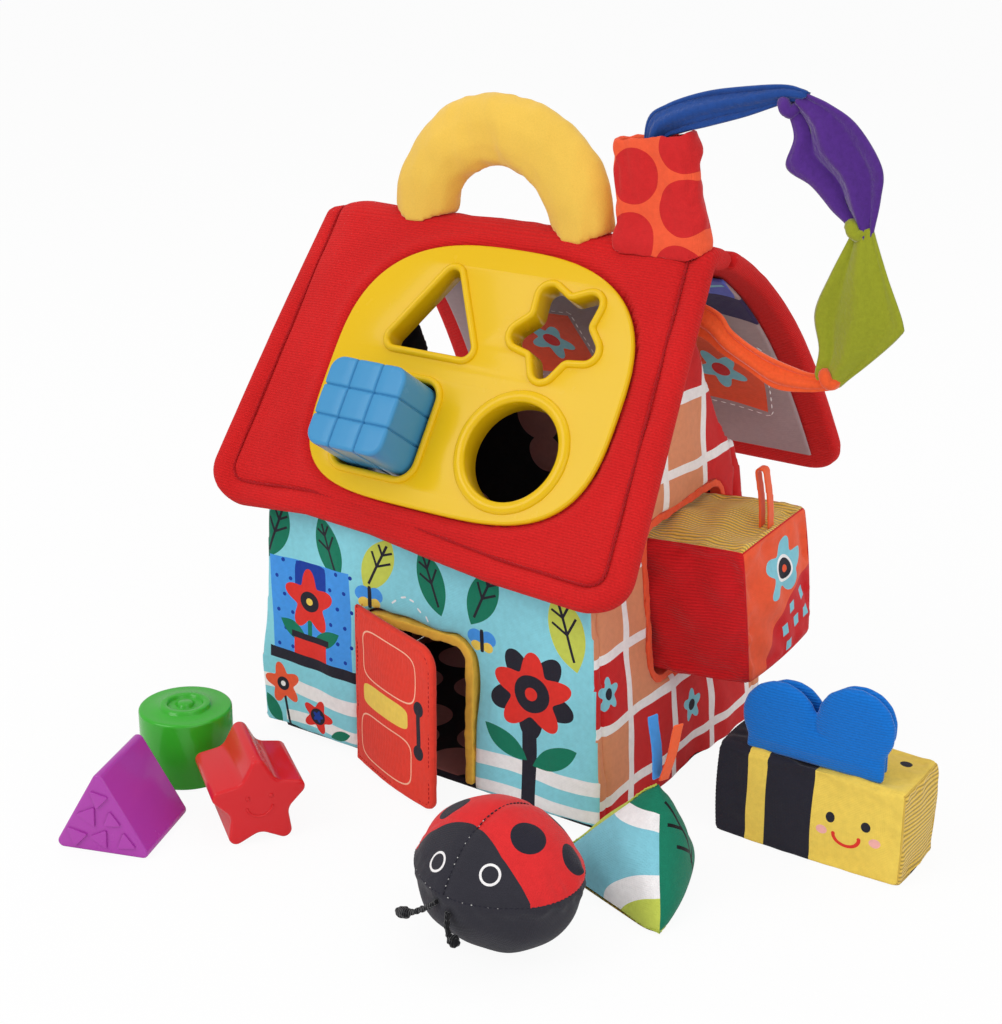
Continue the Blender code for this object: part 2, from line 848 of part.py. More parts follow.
def build_sorter_plate():
    """One moulding: a proud skin, a skirt and flange under the fabric, and four deep collars."""
    top = plate_proud
    under = -roof_thickness - roof_seat_gap
    outline = plate_outline()
    holes = {
        "square": moved(square_outline(shape_clearance), square_hole_centre),
        "circle": moved(circle_outline(shape_clearance), circle_hole_centre),
        "triangle": moved(triangle_outline(shape_clearance), triangle_hole_centre),
        "star": moved(star_outline(shape_clearance), star_hole_centre),
    }
    openings = [offset(hole, collar_wall / 2) for hole in holes.values()]
    skin_place = slope_frame @ Matrix.Translation((0, 0, top - plate_skin / 2))
    skin_outlines = [offset(outline, 0)] + openings
    plate = flat_solid(
        "sorter_plate", skin_outlines, plate_skin, yellow_plastic, skin_place, plate_skin * 0.3
    )
    skirt_top = top - plate_skin * 0.62
    skirt_face = -plate_skin / 2
    skirt_profile = [
        (skirt_face - plate_skirt, skirt_top),
        (skirt_face, skirt_top),
        (skirt_face, under),
        (plate_flange_width, under),
        (plate_flange_width, under - plate_flange_thickness),
        (skirt_face - plate_skirt, under - plate_flange_thickness),
    ]
    skirt = ring_loft("plate_skirt", outline, skirt_profile, None, slope_frame)
    boolean(plate, skirt, "UNION")
    for name, hole in holes.items():
        wide = circle_bead_width if name == "circle" else bead_width
        arc = [math.pi * step / 4 for step in range(5)]
        bead = [
            (wide / 2 * (1 - math.cos(turn)), top + bead_height * math.sin(turn)) for turn in arc
        ]
        profile = bead + [
            (wide, top - plate_skin / 2),
            (collar_wall, top - plate_skin / 2),
            (collar_wall, top - collar_depth),
            (0, top - collar_depth),
        ]
        collar = ring_loft(name + "_collar", hole, profile, None, slope_frame)
        boolean(plate, collar, "UNION")
    return plate


def build_roof_front():
    """The fixed roof panel, with the sorter's opening and the slot under the chimney."""
    across = even_stations(10)
    panel = padded_panel(
        "roof_front_panel", across, roof_rows(), roof_place, roof_thickness, red_fleece
    )
    opening = flat_solid(
        "plate_opening_cutter",
        [offset(plate_outline(), plate_fabric_clearance)],
        (roof_thickness + cut_overrun) * 2,
        None,
        slope_frame,
    )
    boolean(panel, opening)
    slot = rounded_outline(
        rectangle_corners(
            -chimney_slot_length / 2,
            chimney_slot_length / 2,
            -chimney_slot_width / 2,
            chimney_slot_width / 2,
        ),
        [chimney_slot_width / 3] * 4,
    )
    crest_height = roof_path(slope_length + crest_arc)[0].y
    place = Matrix.Translation((chimney_centre_x, chimney_centre_y, crest_height))
    height = (roof_thickness + cut_overrun) * 4
    slot_cutter = flat_solid("chimney_slot_cutter", [offset(slot, 0)], height, None, place)
    boolean(panel, slot_cutter)
    return panel


def crest_section(margin, under):
    """Outline of the roof crest in the Y-Z plane, grown by a margin, down to a lower height."""
    travels = np.linspace(slope_length * 0.7, roof_path_length, 24)
    outer = []
    for travel in travels:
        place, out = roof_path(travel)
        outer.append(place + out * (mid_depth + margin))
    first, last = outer[0], outer[-1]
    return outer + [Vector((last.x, under)), Vector((first.x, under))]


def build_chimney():
    """A flat tube of two cloth layers, open at the top and trimmed to the crest below."""
    outer_half = chimney_width / 2
    corners = rectangle_corners(-outer_half, outer_half, -chimney_depth / 2, chimney_depth / 2)
    outline = rounded_outline(corners, [chimney_depth * 0.45] * 4)
    low = roof_path(slope_length * 0.85)[0].y
    height = chimney_top_height - low
    flare = chimney_base_flare
    profile = [
        (0, height),
        (0, height * 0.55),
        (flare, 0),
        (flare - chimney_wall, 0),
        (-chimney_wall, height * 0.55),
        (-chimney_wall, height),
    ]
    place = Matrix.Translation((chimney_centre_x, chimney_centre_y, low))
    chimney = ring_loft("chimney", outline, profile, chimney_cotton, place)
    slant = Matrix.Identity(4)
    slant[0][2] = -chimney_slant / height
    slant[2][0] = chimney_top_rise / chimney_width
    chimney.data.transform(slant)
    section = crest_section(touch_gap, low - cut_overrun)
    across = plane_frame((chimney_centre_x, 0, 0), (0, 1, 0), (0, 0, 1))
    length = chimney_width + 2 * (chimney_base_flare + cut_overrun)
    cutter = flat_solid("crest_cutter", [section], length, None, across)
    return boolean(chimney, cutter)


def flap_half_width(travel):
    return flap_ridge_half + (flap_eave_half - flap_ridge_half) * travel / flap_length


def flap_place(unit_x, unit_y):
    half_length = flap_length / 2
    along = -unit_y * half_length
    x = unit_x * flap_ridge_half
    if along > 0:
        x, along = corner_pull(unit_x, -unit_y, flap_ridge_half, half_length, roof_corner_radius)
    travel = (along + half_length) * (1 + flap_heel / flap_length) - flap_heel
    x *= flap_half_width(travel) / flap_ridge_half
    place, out = flap_path(travel)
    return (x, place.x, place.y)


def lining_place(unit_x, unit_y):
    travel = flap_length / 2 - unit_y * (flap_length / 2 - lining_inset)
    x = unit_x * (flap_half_width(travel) - lining_inset)
    place, out = flap_path(travel)
    place = place - out * (flap_thickness / 2 + touch_gap * 2 + lining_thickness / 2)
    return (x, place.x, place.y)


def build_flap():
    """The lifted back panel, its lining, and the patch of its closure."""
    across, along = even_stations(9), even_stations(10)
    padded_panel("roof_flap_panel", across, along, flap_place, flap_thickness, red_fleece)
    bm = bmesh.new()
    bmesh.ops.create_grid(bm, x_segments=8, y_segments=12, size=1)
    for vert in bm.verts:
        vert.co = lining_place(vert.co.x, vert.co.y)
    lining = finish_bmesh("roof_flap_lining", bm, lining_cotton)
    solidify = lining.modifiers.new("Cloth", "SOLIDIFY")
    solidify.thickness = lining_thickness
    solidify.offset = 0
    travel = flap_length - lining_inset - patch_inset
    place, out = flap_path(travel)
    below = flap_thickness / 2 + touch_gap * 3 + lining_thickness + patch_thickness
    place = place - out * below
    down = (0, out.y, -out.x)
    frame = plane_frame((0, place.x, place.y), (1, 0, 0), down)
    flat_solid("closure_patch_flap", [patch_outline()], patch_thickness, patch_fabric, frame)


def patch_outline():
    half_length = patch_length / 2
    half_width = patch_width / 2
    corners = rectangle_corners(-half_length, half_length, -half_width, half_width)
    return offset(rounded_outline(corners, [patch_radius] * 4), 0)


def build_wall_patch():
    centre = (back_eave_height - patch_inset) / math.cos(back_lean)
    rise = wall_thickness / 2 + touch_gap + patch_thickness / 2
    frame = back_frame @ Matrix.Translation((0, centre, rise))
    flat_solid("closure_patch_wall", [patch_outline()], patch_thickness, patch_fabric, frame)


def build_door():
    """The door flap, hung at its left edge and standing open; its origin is on the hinge line."""
    radius = door_corner_radius
    sharp = wall_edge_rounding
    corners = rectangle_corners(0, door_width, door_bottom_height, door_bottom_height + door_height)
    outline = offset(rounded_outline(corners, [sharp, radius / 2, radius, sharp]), 0)
    hinge = Matrix.Translation((door_hinge_x, -half_depth - hinge_offset, 0))
    upright = Matrix.Rotation(-door_open_angle, 4, "Z") @ Matrix.Rotation(math.pi / 2, 4, "X")
    flat_solid(
        "door_flap", [outline], door_thickness, door_cotton, hinge @ upright, door_thickness * 0.3
    )


def build_handle():
    """A stuffed arch sewn over the crest. Its feet are hollowed to the crest, also when it tilts."""
    count = 17
    places = [(-handle_arch_radius, 0, -handle_foot_length)]
    for step in range(count):
        turn = math.pi * step / (count - 1)
        rise = handle_arch_height * math.sin(turn)
        places.append((-handle_arch_radius * math.cos(turn), 0, rise))
    places.append((handle_arch_radius, 0, -handle_foot_length))
    handle = tube("handle", places, [handle_radius] * len(places), yellow_plush, None, 3)
    handle.data.transform(Matrix.Diagonal((1, handle_flatness_share, 1, 1)))
    place, out = roof_path(slope_length + crest_mid_radius * roof_angle)
    centre = place - out * crest_mid_radius
    crest_top = centre.y + crest_radius
    handle.matrix_world = Matrix.Translation((handle_centre_x, centre.x, crest_top + touch_gap))
    section = [point - centre for point in crest_section(touch_gap, centre.y - crest_radius * 3)]
    length = 2 * (handle_arch_radius + handle_radius + cut_overrun)
    middle = plane_frame((handle_centre_x, centre.x, centre.y), (0, 1, 0), (0, 0, 1))
    for name, turn in (("level", 0), ("back", -handle_tilt), ("front", handle_tilt)):
        frame = middle @ Matrix.Rotation(turn, 4, "Z")
        boolean(handle, flat_solid("crest_cutter_" + name, [section], length, None, frame))


def spline_through(places, count):
    """Even places on a smooth curve through the given ones."""
    places = [Vector(place) for place in places]
    padded = [places[0] * 2 - places[1]] + places + [places[-1] * 2 - places[-2]]
    spans = len(places) - 1
    found = []
    for value in np.linspace(0, spans, count):
        k = min(int(value), spans - 1)
        t = value - k
        before, start, end, after = padded[k : k + 4]
        found.append(
            0.5
            * (
                start * 2
                + (end - before) * t
                + (before * 2 - start * 5 + end * 4 - after) * t * t
                + (start * 3 - before - end * 3 + after) * t * t * t
            )
        )
    return found


def kerchief(name, stations, folds, fold_depth, look, knot=None):
    """A kerchief laid between stations of (one edge, other edge) as (x, z), with its main folds."""
    rows, columns = 13, 7
    first = spline_through([(*station[0], 0) for station in stations], rows)
    second = spline_through([(*station[1], 0) for station in stations], rows)
    bm = bmesh.new()
    grid = []
    for row, (start, end) in enumerate(zip(first, second)):
        share = row / (rows - 1)
        open_share = math.sin(math.pi * min(max(share, 0.08), 0.92))
        strip = []
        for column in range(columns):
            unit = column / (columns - 1)
            wave = math.cos(math.tau * folds * unit + 0.9 * share)
            point = start + (end - start) * unit
            out = chain_y + fold_depth * wave * open_share + chain_drift * (point.x - chain_start_x)
            strip.append(bm.verts.new((point.x, out, point.y)))
        grid.append(strip)
    for strip, following in zip(grid, grid[1:]):
        for k in range(columns - 1):
            bm.faces.new((strip[k], strip[k + 1], following[k + 1], following[k]))
    made = finish_bmesh(name, bm, look)
    solidify = made.modifiers.new("Cloth", "SOLIDIFY")
    solidify.thickness = kerchief_thickness
    solidify.offset = 0
    if knot:
        ball = bmesh.new()
        bmesh.ops.create_uvsphere(ball, u_segments=10, v_segments=7, radius=knot_radius)
        bmesh.ops.scale(ball, verts=ball.verts, vec=(1.1, 1, 0.85))
        place = (knot[0], chain_y + chain_drift * (knot[0] - chain_start_x), knot[1])
        boolean(made, finish_bmesh(name + "_knot", ball, None, Matrix.Translation(place)), "UNION")
    return made


# Stations along the chain, from the chimney's mouth round to the top of the gable
blue_stations = [
    ((0.0700, 0.2560), (0.0600, 0.2560)),
    ((0.0695, 0.2700), (0.0592, 0.2745)),
    ((0.0795, 0.2755), (0.0700, 0.2880)),
    ((0.0970, 0.2820), (0.0890, 0.2945)),
    ((0.1120, 0.2880), (0.1090, 0.2975)),
    ((0.1290, 0.2938), (0.1287, 0.2970)),
]
purple_stations = [
    ((0.1195, 0.2855), (0.1275, 0.2910)),
    ((0.1205, 0.2770), (0.1440, 0.2840)),
    ((0.1225, 0.2665), (0.1600, 0.2685)),
    ((0.1360, 0.2570), (0.1600, 0.2570)),
    ((0.1468, 0.2493), (0.1565, 0.2493)),
]
green_stations = [
    ((0.1500, 0.2440), (0.1565, 0.2440)),
    ((0.1430, 0.2290), (0.1650, 0.2300)),
    ((0.1375, 0.2120), (0.1730, 0.2130)),
    ((0.1390, 0.1990), (0.1660, 0.1975)),
    ((0.1455, 0.1895), (0.1510, 0.1890)),
]
orange_stations = [
    ((0.1440, 0.1825), (0.1440, 0.1880)),
    ((0.1300, 0.1800), (0.1305, 0.1895)),
    ((0.1150, 0.1830), (0.1180, 0.1930)),
    ((0.1000, 0.1910), (0.1065, 0.1995)),
    ((0.0880, 0.1995), (0.0920, 0.2100)),
    ((0.0690, 0.2020), (0.0700, 0.2130)),
]


def build_scarf():
    kerchief("scarf_blue", blue_stations, 1.0, 0.0022, blue_plush)
    kerchief("scarf_purple", purple_stations, 1.6, 0.0040, purple_plush, (0.1215, 0.2856))
    kerchief("scarf_green", green_stations, 1.1, 0.0034, green_satin, (0.1525, 0.2450))
    kerchief("scarf_orange", orange_stations, 1.0, 0.0024, orange_satin, (0.1455, 0.1850))


def wall_block_frame():
    """Centre of the stuffed block, square to the port and standing out of the wall."""
    frame = side_wall_frame(1)
    centre = frame @ Vector((block_centre_y, block_centre_height / math.cos(right_lean), 0))
    roll = Matrix.Rotation(block_roll, 4, "X")
    tilt = Matrix.Rotation(-right_lean, 4, "Y")
    return Matrix.Translation(centre) @ tilt @ Matrix.Translation((block_outward, 0, 0)) @ roll


def build_wall_block():
    frame = wall_block_frame()
    size = (block_size, block_size, block_size)
    stuffed_block("wall_block", size, block_crown, block_pinch, soft_edge_radius, block_cotton, frame)
    build_ribbon_loop(frame)


def build_ribbon_loop(frame):
    """A narrow loop of ribbon sewn into the block's upper outer seam."""
    half_gap = loop_gap / 2
    outer = half_gap + ribbon_thickness
    corners = [
        (-outer, 0),
        (-half_gap, 0),
        (-half_gap, ribbon_length - ribbon_thickness),
        (half_gap, ribbon_length - ribbon_thickness),
        (half_gap, 0),
        (outer, 0),
        (outer, ribbon_length),
        (-outer, ribbon_length),
    ]
    fine = ribbon_thickness / 4
    turn = half_gap * 0.9
    radii = [fine, fine, turn, turn, fine, fine, outer * 0.9, outer * 0.9]
    outline = offset(rounded_outline(corners, radii, 3), 0)
    seat = block_size / 2 + touch_gap
    inward = block_size / 2 - soft_edge_radius / 2 - outer
    place = frame @ Matrix.Translation((inward, 0, seat)) @ Matrix.Rotation(math.pi / 2, 4, "X")
    flat_solid("wall_block_loop", [outline], ribbon_width, orange_ribbon, place)


def build_bee():
    place = Matrix.Translation((*bee_place, bee_height / 2 - floor_trim))
    frame = place @ Matrix.Rotation(bee_turn, 4, "Z")
    size = (bee_length, bee_depth, bee_height)
    floor_cut(stuffed_block("bee_body", size, bee_crown, bee_pinch, soft_edge_radius, bee_cotton, frame))
    front_y = -bee_depth / 2 + wing_inset
    wings = (
        ("bee_front_wings", 0, 0, 1, front_wing_seat_share),
        ("bee_rear_wings", wing_spacing, wing_rear_shift, wing_rear_scale, rear_wing_seat_share),
    )
    for name, back, across, scale, seat_share in wings:
        centre = Vector((across, front_y + back, bee_height / 2 + bee_crown * seat_share))
        upright = frame @ Matrix.Translation(centre) @ Matrix.Rotation(math.pi / 2, 4, "X")
        outline = [(x * scale, y * scale) for x, y in wing_outline()]
        flat_solid(name, [outline], wing_thickness, wing_cord, upright, wing_thickness * 0.3)


def lobe(centre, first_angle, last_angle, steps=10):
    turns = np.linspace(math.radians(first_angle), math.radians(last_angle), steps)
    radius = wing_lobe_radius
    return [
        (centre[0] + radius * math.cos(turn), centre[1] + radius * math.sin(turn)) for turn in turns
    ]


def wing_outline():
    """Two round lobes over one straight seam: the right lobe stands a little higher."""
    right = lobe(wing_right_lobe, -38, 184)
    left = lobe(wing_left_lobe, 16, 216)
    return [(-wing_foot_half, 0), (wing_foot_half, 0)] + right + left


def ladybird_form(name, size, point, look, matrix):
    """A four-panel ball, longer towards the nose and tail, where its seams meet in a point."""
    bm = bmesh.new()
    bmesh.ops.create_uvsphere(bm, u_segments=24, v_segments=14, radius=1)
    bmesh.ops.rotate(bm, verts=bm.verts, matrix=Matrix.Rotation(math.pi / 2, 3, "X"))
    for vert in bm.verts:
        unit = vert.co.copy()
        tip = point * unit.y**6 * math.copysign(1, unit.y)
        vert.co = Vector((unit.x * size[0], unit.y * size[1], unit.z * size[2])) / 2
        vert.co.y += tip
    return finish_bmesh(name, bm, look, matrix)


def build_ladybird():
    place = Matrix.Translation((*ladybird_place, ladybird_height / 2 - floor_trim * 2))
    frame = place @ Matrix.Rotation(ladybird_turn, 4, "Z")
    size = (ladybird_width, ladybird_length, ladybird_height)
    floor_cut(ladybird_form("ladybird_body", size, ladybird_point, ladybird_cotton, frame))
    nose = -ladybird_length / 2 - ladybird_point - antenna_radius
    for name, route in antenna_routes.items():
        line = [point + Vector((0, nose, 0)) for point in spline_through(route, 9)]
        radii = [antenna_radius] * 6 + [antenna_radius * 2, antenna_radius * 2.1, antenna_radius * 1.2]
        tube(name, line, radii, black_cord, frame)


def pyramid_form(name, side, height, crown, look, matrix):
    """A stuffed three-sided pyramid: its three sides crown, its base lies flat."""
    bm = bmesh.new()
    radius = side / math.sqrt(3)
    bmesh.ops.create_cone(
        bm, cap_ends=True, segments=3, radius1=radius, radius2=radius * pyramid_tip_share, depth=height
    )
    bmesh.ops.triangulate(bm, faces=bm.faces)
    corners = [Vector((*corner, -height / 2)) for corner in regular_corners(3, radius, math.pi / 2)]
    bmesh.ops.subdivide_edges(bm, edges=bm.edges, cuts=5, use_grid_fill=True)
    for vert in bm.verts:
        rise = vert.co.z / height + 0.5
        if rise < 1e-4:
            continue
        spread = Vector((vert.co.x, vert.co.y))
        inner = radius / 2 * (1 - rise)
        over = max(spread.length - inner, 0) / max(inner, 1e-6)
        swell = crown * 4 * rise * (1 - rise) * max(0, 1 - over)
        vert.co += Vector((*spread.normalized() * swell, 0))
    made = finish_bmesh(name, bm, look, matrix)
    shear = Matrix.Identity(4)
    local_lean = Matrix.Rotation(-pyramid_turn, 2) @ Vector(pyramid_lean)
    for axis in (0, 1):
        shear[axis][2] = local_lean[axis] / height
        shear[axis][3] = local_lean[axis] / 2
    made.data.transform(shear)
    return made


def build_pyramid():
    place = Matrix.Translation((*pyramid_place, pyramid_height / 2))
    frame = place @ Matrix.Rotation(pyramid_turn, 4, "Z")
    pyramid_form("pyramid_body", pyramid_side, pyramid_height, pyramid_crown, pyramid_cotton, frame)
    top = Vector(pyramid_place) + Vector(pyramid_lean)
    apex = Matrix.Translation((*top, pyramid_height + touch_gap))
    leans = {"pyramid_blue_ribbon": (-5.0, -0.0014), "pyramid_orange_ribbon": (14.0, 0.0012)}
    looks = {"pyramid_blue_ribbon": blue_ribbon, "pyramid_orange_ribbon": orange_ribbon}
    for name, (lean, shift) in leans.items():
        half = ribbon_width / 2
        corners = rectangle_corners(-half, half, 0, ribbon_length)
        outline = offset(rounded_outline(corners, [ribbon_thickness / 4] * 4, 2), 0)
        turn = Matrix.Rotation(math.radians(lean), 4, "Y")
        stand = apex @ Matrix.Translation((shift, 0, 0)) @ turn
        edgewise = stand @ Matrix.Rotation(math.radians(72), 4, "Z") @ Matrix.Rotation(math.pi / 2, 4, "X")
        flat_solid(name, [outline], ribbon_thickness, looks[name], edgewise)


def build_cube():
    """The blue cube, part way out of its hole, with a grid of grooves on every face."""
    bm = bmesh.new()
    bmesh.ops.create_cube(bm, size=cube_size)
    rise = plate_proud + cube_stand_out - cube_size / 2
    place = slope_frame @ Matrix.Translation((*square_hole_centre, rise))
    cube = finish_bmesh("blue_cube", bm, blue_plastic, place)
    bevel(cube, cube_edge_radius, 2)
    reach = cube_size / 2 + cut_overrun
    floor = cube_size / 2 - cube_groove_depth
    outer = rectangle_corners(-reach, reach, -reach, reach)
    inner = offset(
        rounded_outline(rectangle_corners(-floor, floor, -floor, floor), [cube_edge_radius] * 4, 3), 0
    )
    turns = [Matrix(), Matrix.Rotation(math.pi / 2, 4, "X"), Matrix.Rotation(math.pi / 2, 4, "Y")]
    for axis, turn in enumerate(turns):
        for side in (-1, 1):
            shift = Matrix.Translation((0, 0, side * cube_size / 6))
            name = f"groove_cutter_{axis}_{'low' if side < 0 else 'high'}"
            groove = flat_solid(name, [outer, inner], cube_groove_width, None, place @ turn @ shift)
            boolean(cube, groove)


def build_cylinder():
    """The green cylinder, a turned profile with a raised ring and boss on its top."""
    r, h, edge = cylinder_radius, cylinder_height, cylinder_edge_radius
    ring, wide, rise = cylinder_ring_radius, cylinder_ring_width, cylinder_ring_height
    ease = rise / 2
    profile = [
        (0, h + rise),
        (cylinder_boss_radius - ease, h + rise),
        (cylinder_boss_radius, h + ease),
        (cylinder_boss_radius, h),
        (ring - wide, h),
        (ring - wide, h + ease),
        (ring - wide + ease, h + rise),
        (ring - ease, h + rise),
        (ring, h + ease),
        (ring, h),
        (r - edge, h),
        (r - edge * 0.3, h - edge * 0.3),
        (r, h - edge),
        (r, edge / 2),
        (r - edge / 2, 0),
        (0, 0),
    ]
    bm = bmesh.new()
    verts = [bm.verts.new((x, 0, z)) for x, z in profile]
    for start, end in zip(verts, verts[1:]):
        bm.edges.new((start, end))
    mesh = bpy.data.meshes.new("green_cylinder")
    bm.to_mesh(mesh)
    bm.free()
    cylinder = add_object("green_cylinder", mesh, green_plastic, Matrix.Translation((*cylinder_place, 0)))
    screw = cylinder.modifiers.new("Turned", "SCREW")
    screw.steps = 36
    screw.render_steps = 36
    screw.use_merge_vertices = True
    screw.merge_threshold = 1e-5
    screw.use_normal_calculate = True


def build_prism():
    """The purple prism, lying on one side, with small raised triangles on both ends."""
    outline = offset(triangle_outline(0), 0)
    centre_height = prism_side / math.sqrt(3) / 2
    place = Matrix.Translation((*prism_place, centre_height)) @ Matrix.Rotation(prism_turn, 4, "Z")
    frame = place @ Matrix.Rotation(math.pi / 2, 4, "X")
    prism = flat_solid("purple_prism", [outline], shape_length, purple_plastic, frame, prism_edge_radius / 3)
    mark_places = [
        (prism_side * across, prism_side * up) for across, up in prism_mark_shares
    ]
    for end in (-1, 1):
        for k, mark_place in enumerate(mark_places):
            corners = regular_corners(3, prism_mark_side / math.sqrt(3), 0.7 * k)
            mark = [(x + mark_place[0], y + mark_place[1]) for x, y in corners]
            lift = Matrix.Translation((0, 0, end * shape_length / 2))
            name = f"prism_mark_{k}_{'front' if end > 0 else 'back'}"
            boolean(prism, flat_solid(name, [mark], prism_relief * 2, None, frame @ lift), "UNION")


def build_star():
    """The red star, standing on two of its points."""
    outline = star_outline(0, math.pi / 2)
    lowest = min(point.y for point, normal in outline)
    place = Matrix.Translation((*star_place, -lowest)) @ Matrix.Rotation(star_turn, 4, "Z")
    frame = place @ Matrix.Rotation(math.pi / 2, 4, "X")
    flat_solid("red_star", [offset(outline, 0)], shape_length, red_plastic, frame, star_edge_radius)


flange_clearance = build_flange_clearance()
build_floor()
build_front_wall()
build_door_surround()
build_back_wall()
build_gable_wall("right_gable_wall", 1, gable_top_height, block_port)
build_gable_wall("left_gable_wall", -1, closed_gable_top_height, pyramid_port)
build_port_binding("block_port_binding", 1, block_port, orange_cotton)
build_port_binding("pyramid_port_binding", -1, pyramid_port, red_cotton)
build_roof_front()
build_sorter_plate()
build_chimney()
build_flap()
build_wall_patch()
build_door()
build_handle()
build_scarf()
build_wall_block()
build_bee()
build_ladybird()
build_pyramid()
build_cube()
build_cylinder()
build_prism()
build_star()
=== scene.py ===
import math

import bmesh
import bpy
import numpy as np
from mathutils import Matrix, Vector


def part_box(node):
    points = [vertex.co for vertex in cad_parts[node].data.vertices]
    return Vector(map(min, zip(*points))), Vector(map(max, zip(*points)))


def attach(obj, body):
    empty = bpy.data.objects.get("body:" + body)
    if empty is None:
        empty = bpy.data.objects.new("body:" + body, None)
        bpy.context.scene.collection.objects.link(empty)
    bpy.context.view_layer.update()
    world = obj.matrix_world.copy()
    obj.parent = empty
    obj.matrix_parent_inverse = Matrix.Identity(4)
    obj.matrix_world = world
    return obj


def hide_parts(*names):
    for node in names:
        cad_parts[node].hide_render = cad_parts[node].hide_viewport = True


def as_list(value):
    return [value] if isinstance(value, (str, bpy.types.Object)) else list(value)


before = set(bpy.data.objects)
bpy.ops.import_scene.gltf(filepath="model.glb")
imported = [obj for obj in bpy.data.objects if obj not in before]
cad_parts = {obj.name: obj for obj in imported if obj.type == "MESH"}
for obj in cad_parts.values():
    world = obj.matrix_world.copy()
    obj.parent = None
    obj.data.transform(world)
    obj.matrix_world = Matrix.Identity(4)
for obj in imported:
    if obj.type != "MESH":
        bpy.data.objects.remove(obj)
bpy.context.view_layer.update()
print("frame loaded:", len(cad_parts), "nodes")

# The house: measures shared by several pieces, in metres
house = {"rightLean": math.radians(4.5), "slopeAngle": math.radians(56), "apex": (0, -0.006, 0.2315),
         "crestRadius": 0.0105}
floorGap = 0.0001  # lowest place of a stuffed toy over the floor
slopeFrame = Matrix.Translation(house["apex"]) @ Matrix.Rotation(house["slopeAngle"], 4, "X")

# Colours as they look on the toy, 0 to 255
colours = {
    "fleece": (210, 33, 34), "fleeceDeep": (176, 20, 26), "plate": (231, 187, 14), "plush": (240, 196, 84),
    "sky": (138, 214, 228), "white": (245, 242, 242), "leaf": (22, 122, 94), "lime": (198, 210, 88),
    "ink": (38, 37, 48), "pane": (70, 152, 234), "paneDeep": (26, 62, 160), "poppy": (226, 52, 44),
    "orange": (240, 92, 56), "salmon": (222, 146, 108), "check": (206, 38, 40), "sun": (240, 208, 90),
    "paleBlue": (132, 202, 218), "mustard": (240, 188, 72), "peach": (250, 190, 160), "doorRed": (228, 62, 46),
    "corduroy": (218, 182, 80), "blockRed": (208, 27, 34), "violet": (84, 44, 134), "royal": (32, 72, 144),
    "moss": (150, 156, 38), "tangerine": (238, 92, 44), "lining": (168, 150, 152), "night": (52, 44, 84),
    "periwinkle": (92, 106, 200), "cube": (70, 146, 196), "green": (54, 176, 40), "purple": (174, 62, 170),
    "red": (216, 34, 40), "beeYellow": (240, 208, 92), "wing": (14, 112, 204), "lady": (220, 44, 46),
    "ribbonBlue": (66, 148, 224), "brown": (158, 108, 104), "grey": (206, 204, 202), "black": (18, 18, 22),
    "blush": (244, 178, 172), "navy": (24, 50, 120), "coal": (48, 47, 55),
}


def linear(name):
    parts = [((part / 255 + 0.055) / 1.055) ** 2.4 if part > 10 else part / 3295 for part in colours[name]]
    return (*parts, 1)


# Node helpers

def feed(tree, node, key, value):
    if isinstance(value, bpy.types.NodeSocket):
        tree.links.new(value, node.inputs[key])
    else:
        node.inputs[key].default_value = value


def add(tree, kind, inputs=None, **settings):
    made = tree.nodes.new(kind)
    for key, value in settings.items():
        setattr(made, key, value)
    for key, value in (inputs or {}).items():
        feed(tree, made, key, value)
    return made


def maths(tree, operation, first, second=0.0, third=0.0):
    return add(tree, "ShaderNodeMath", {0: first, 1: second, 2: third}, operation=operation).outputs[0]


def times(tree, first, second):
    return maths(tree, "MULTIPLY", first, second)


def scaled(tree, value, factor, shift):
    return maths(tree, "MULTIPLY_ADD", value, factor, shift)


def noise(tree, place, scale, detail, part=0, **more):
    made = add(tree, "ShaderNodeTexNoise", {"Vector": place, "Scale": scale, "Detail": detail, **more})
    return made.outputs[part]


def mixed(tree, mask, base, top):
    return add(tree, "ShaderNodeMix", {0: mask, 6: base, 7: top}, data_type="RGBA").outputs[2]


def separate(tree, place):
    return add(tree, "ShaderNodeSeparateXYZ", {0: place}).outputs


def startTree(name, kind, inputs, outputs):
    # inputs and outputs give each socket's default, or its type where it has no default
    tree = bpy.data.node_groups.new(name, kind)
    for way, sockets in (("INPUT", inputs), ("OUTPUT", outputs)):
        for label, value in sockets.items():
            kind = value if isinstance(value, str) else "NodeSocketFloat"
            made = tree.interface.new_socket(label, in_out=way, socket_type=kind)
            if kind != value:
                made.default_value = value
    return tree, tree.nodes.new("NodeGroupInput").outputs, tree.nodes.new("NodeGroupOutput")


def makeGroup(name, inputs, outputs, build):
    # build gets the tree and its input sockets, and gives one socket for each output
    tree, into, out = startTree(name, "ShaderNodeTree", inputs, outputs)
    for label, socket in zip(outputs, build(tree, into)):
        tree.links.new(socket, out.inputs[label])
    return tree


def useGroup(tree, group, **values):
    return add(tree, "ShaderNodeGroup", values, node_tree=group).outputs


# Flat printed shapes: Mask is 1 where the measure is under 1

def buildShape(name, measure):
    def build(tree, into):
        x = maths(tree, "SUBTRACT", into["Across"], into["Centre X"])
        y = maths(tree, "SUBTRACT", into["Up"], into["Centre Y"])
        cosine = maths(tree, "COSINE", into["Turn"])
        sine = maths(tree, "SINE", into["Turn"])
        along = maths(tree, "ADD", times(tree, x, cosine), times(tree, y, sine))
        side = maths(tree, "SUBTRACT", times(tree, y, cosine), times(tree, x, sine))
        along = maths(tree, "DIVIDE", along, into["Half X"])
        side = maths(tree, "DIVIDE", side, into["Half Y"])
        return [maths(tree, "LESS_THAN", measure(tree, along, side), 1.0)]

    inputs = {"Across": 0, "Up": 0, "Centre X": 0, "Centre Y": 0, "Half X": 0.01, "Half Y": 0.01, "Turn": 0}
    return makeGroup(name, inputs, {"Mask": 0}, build)


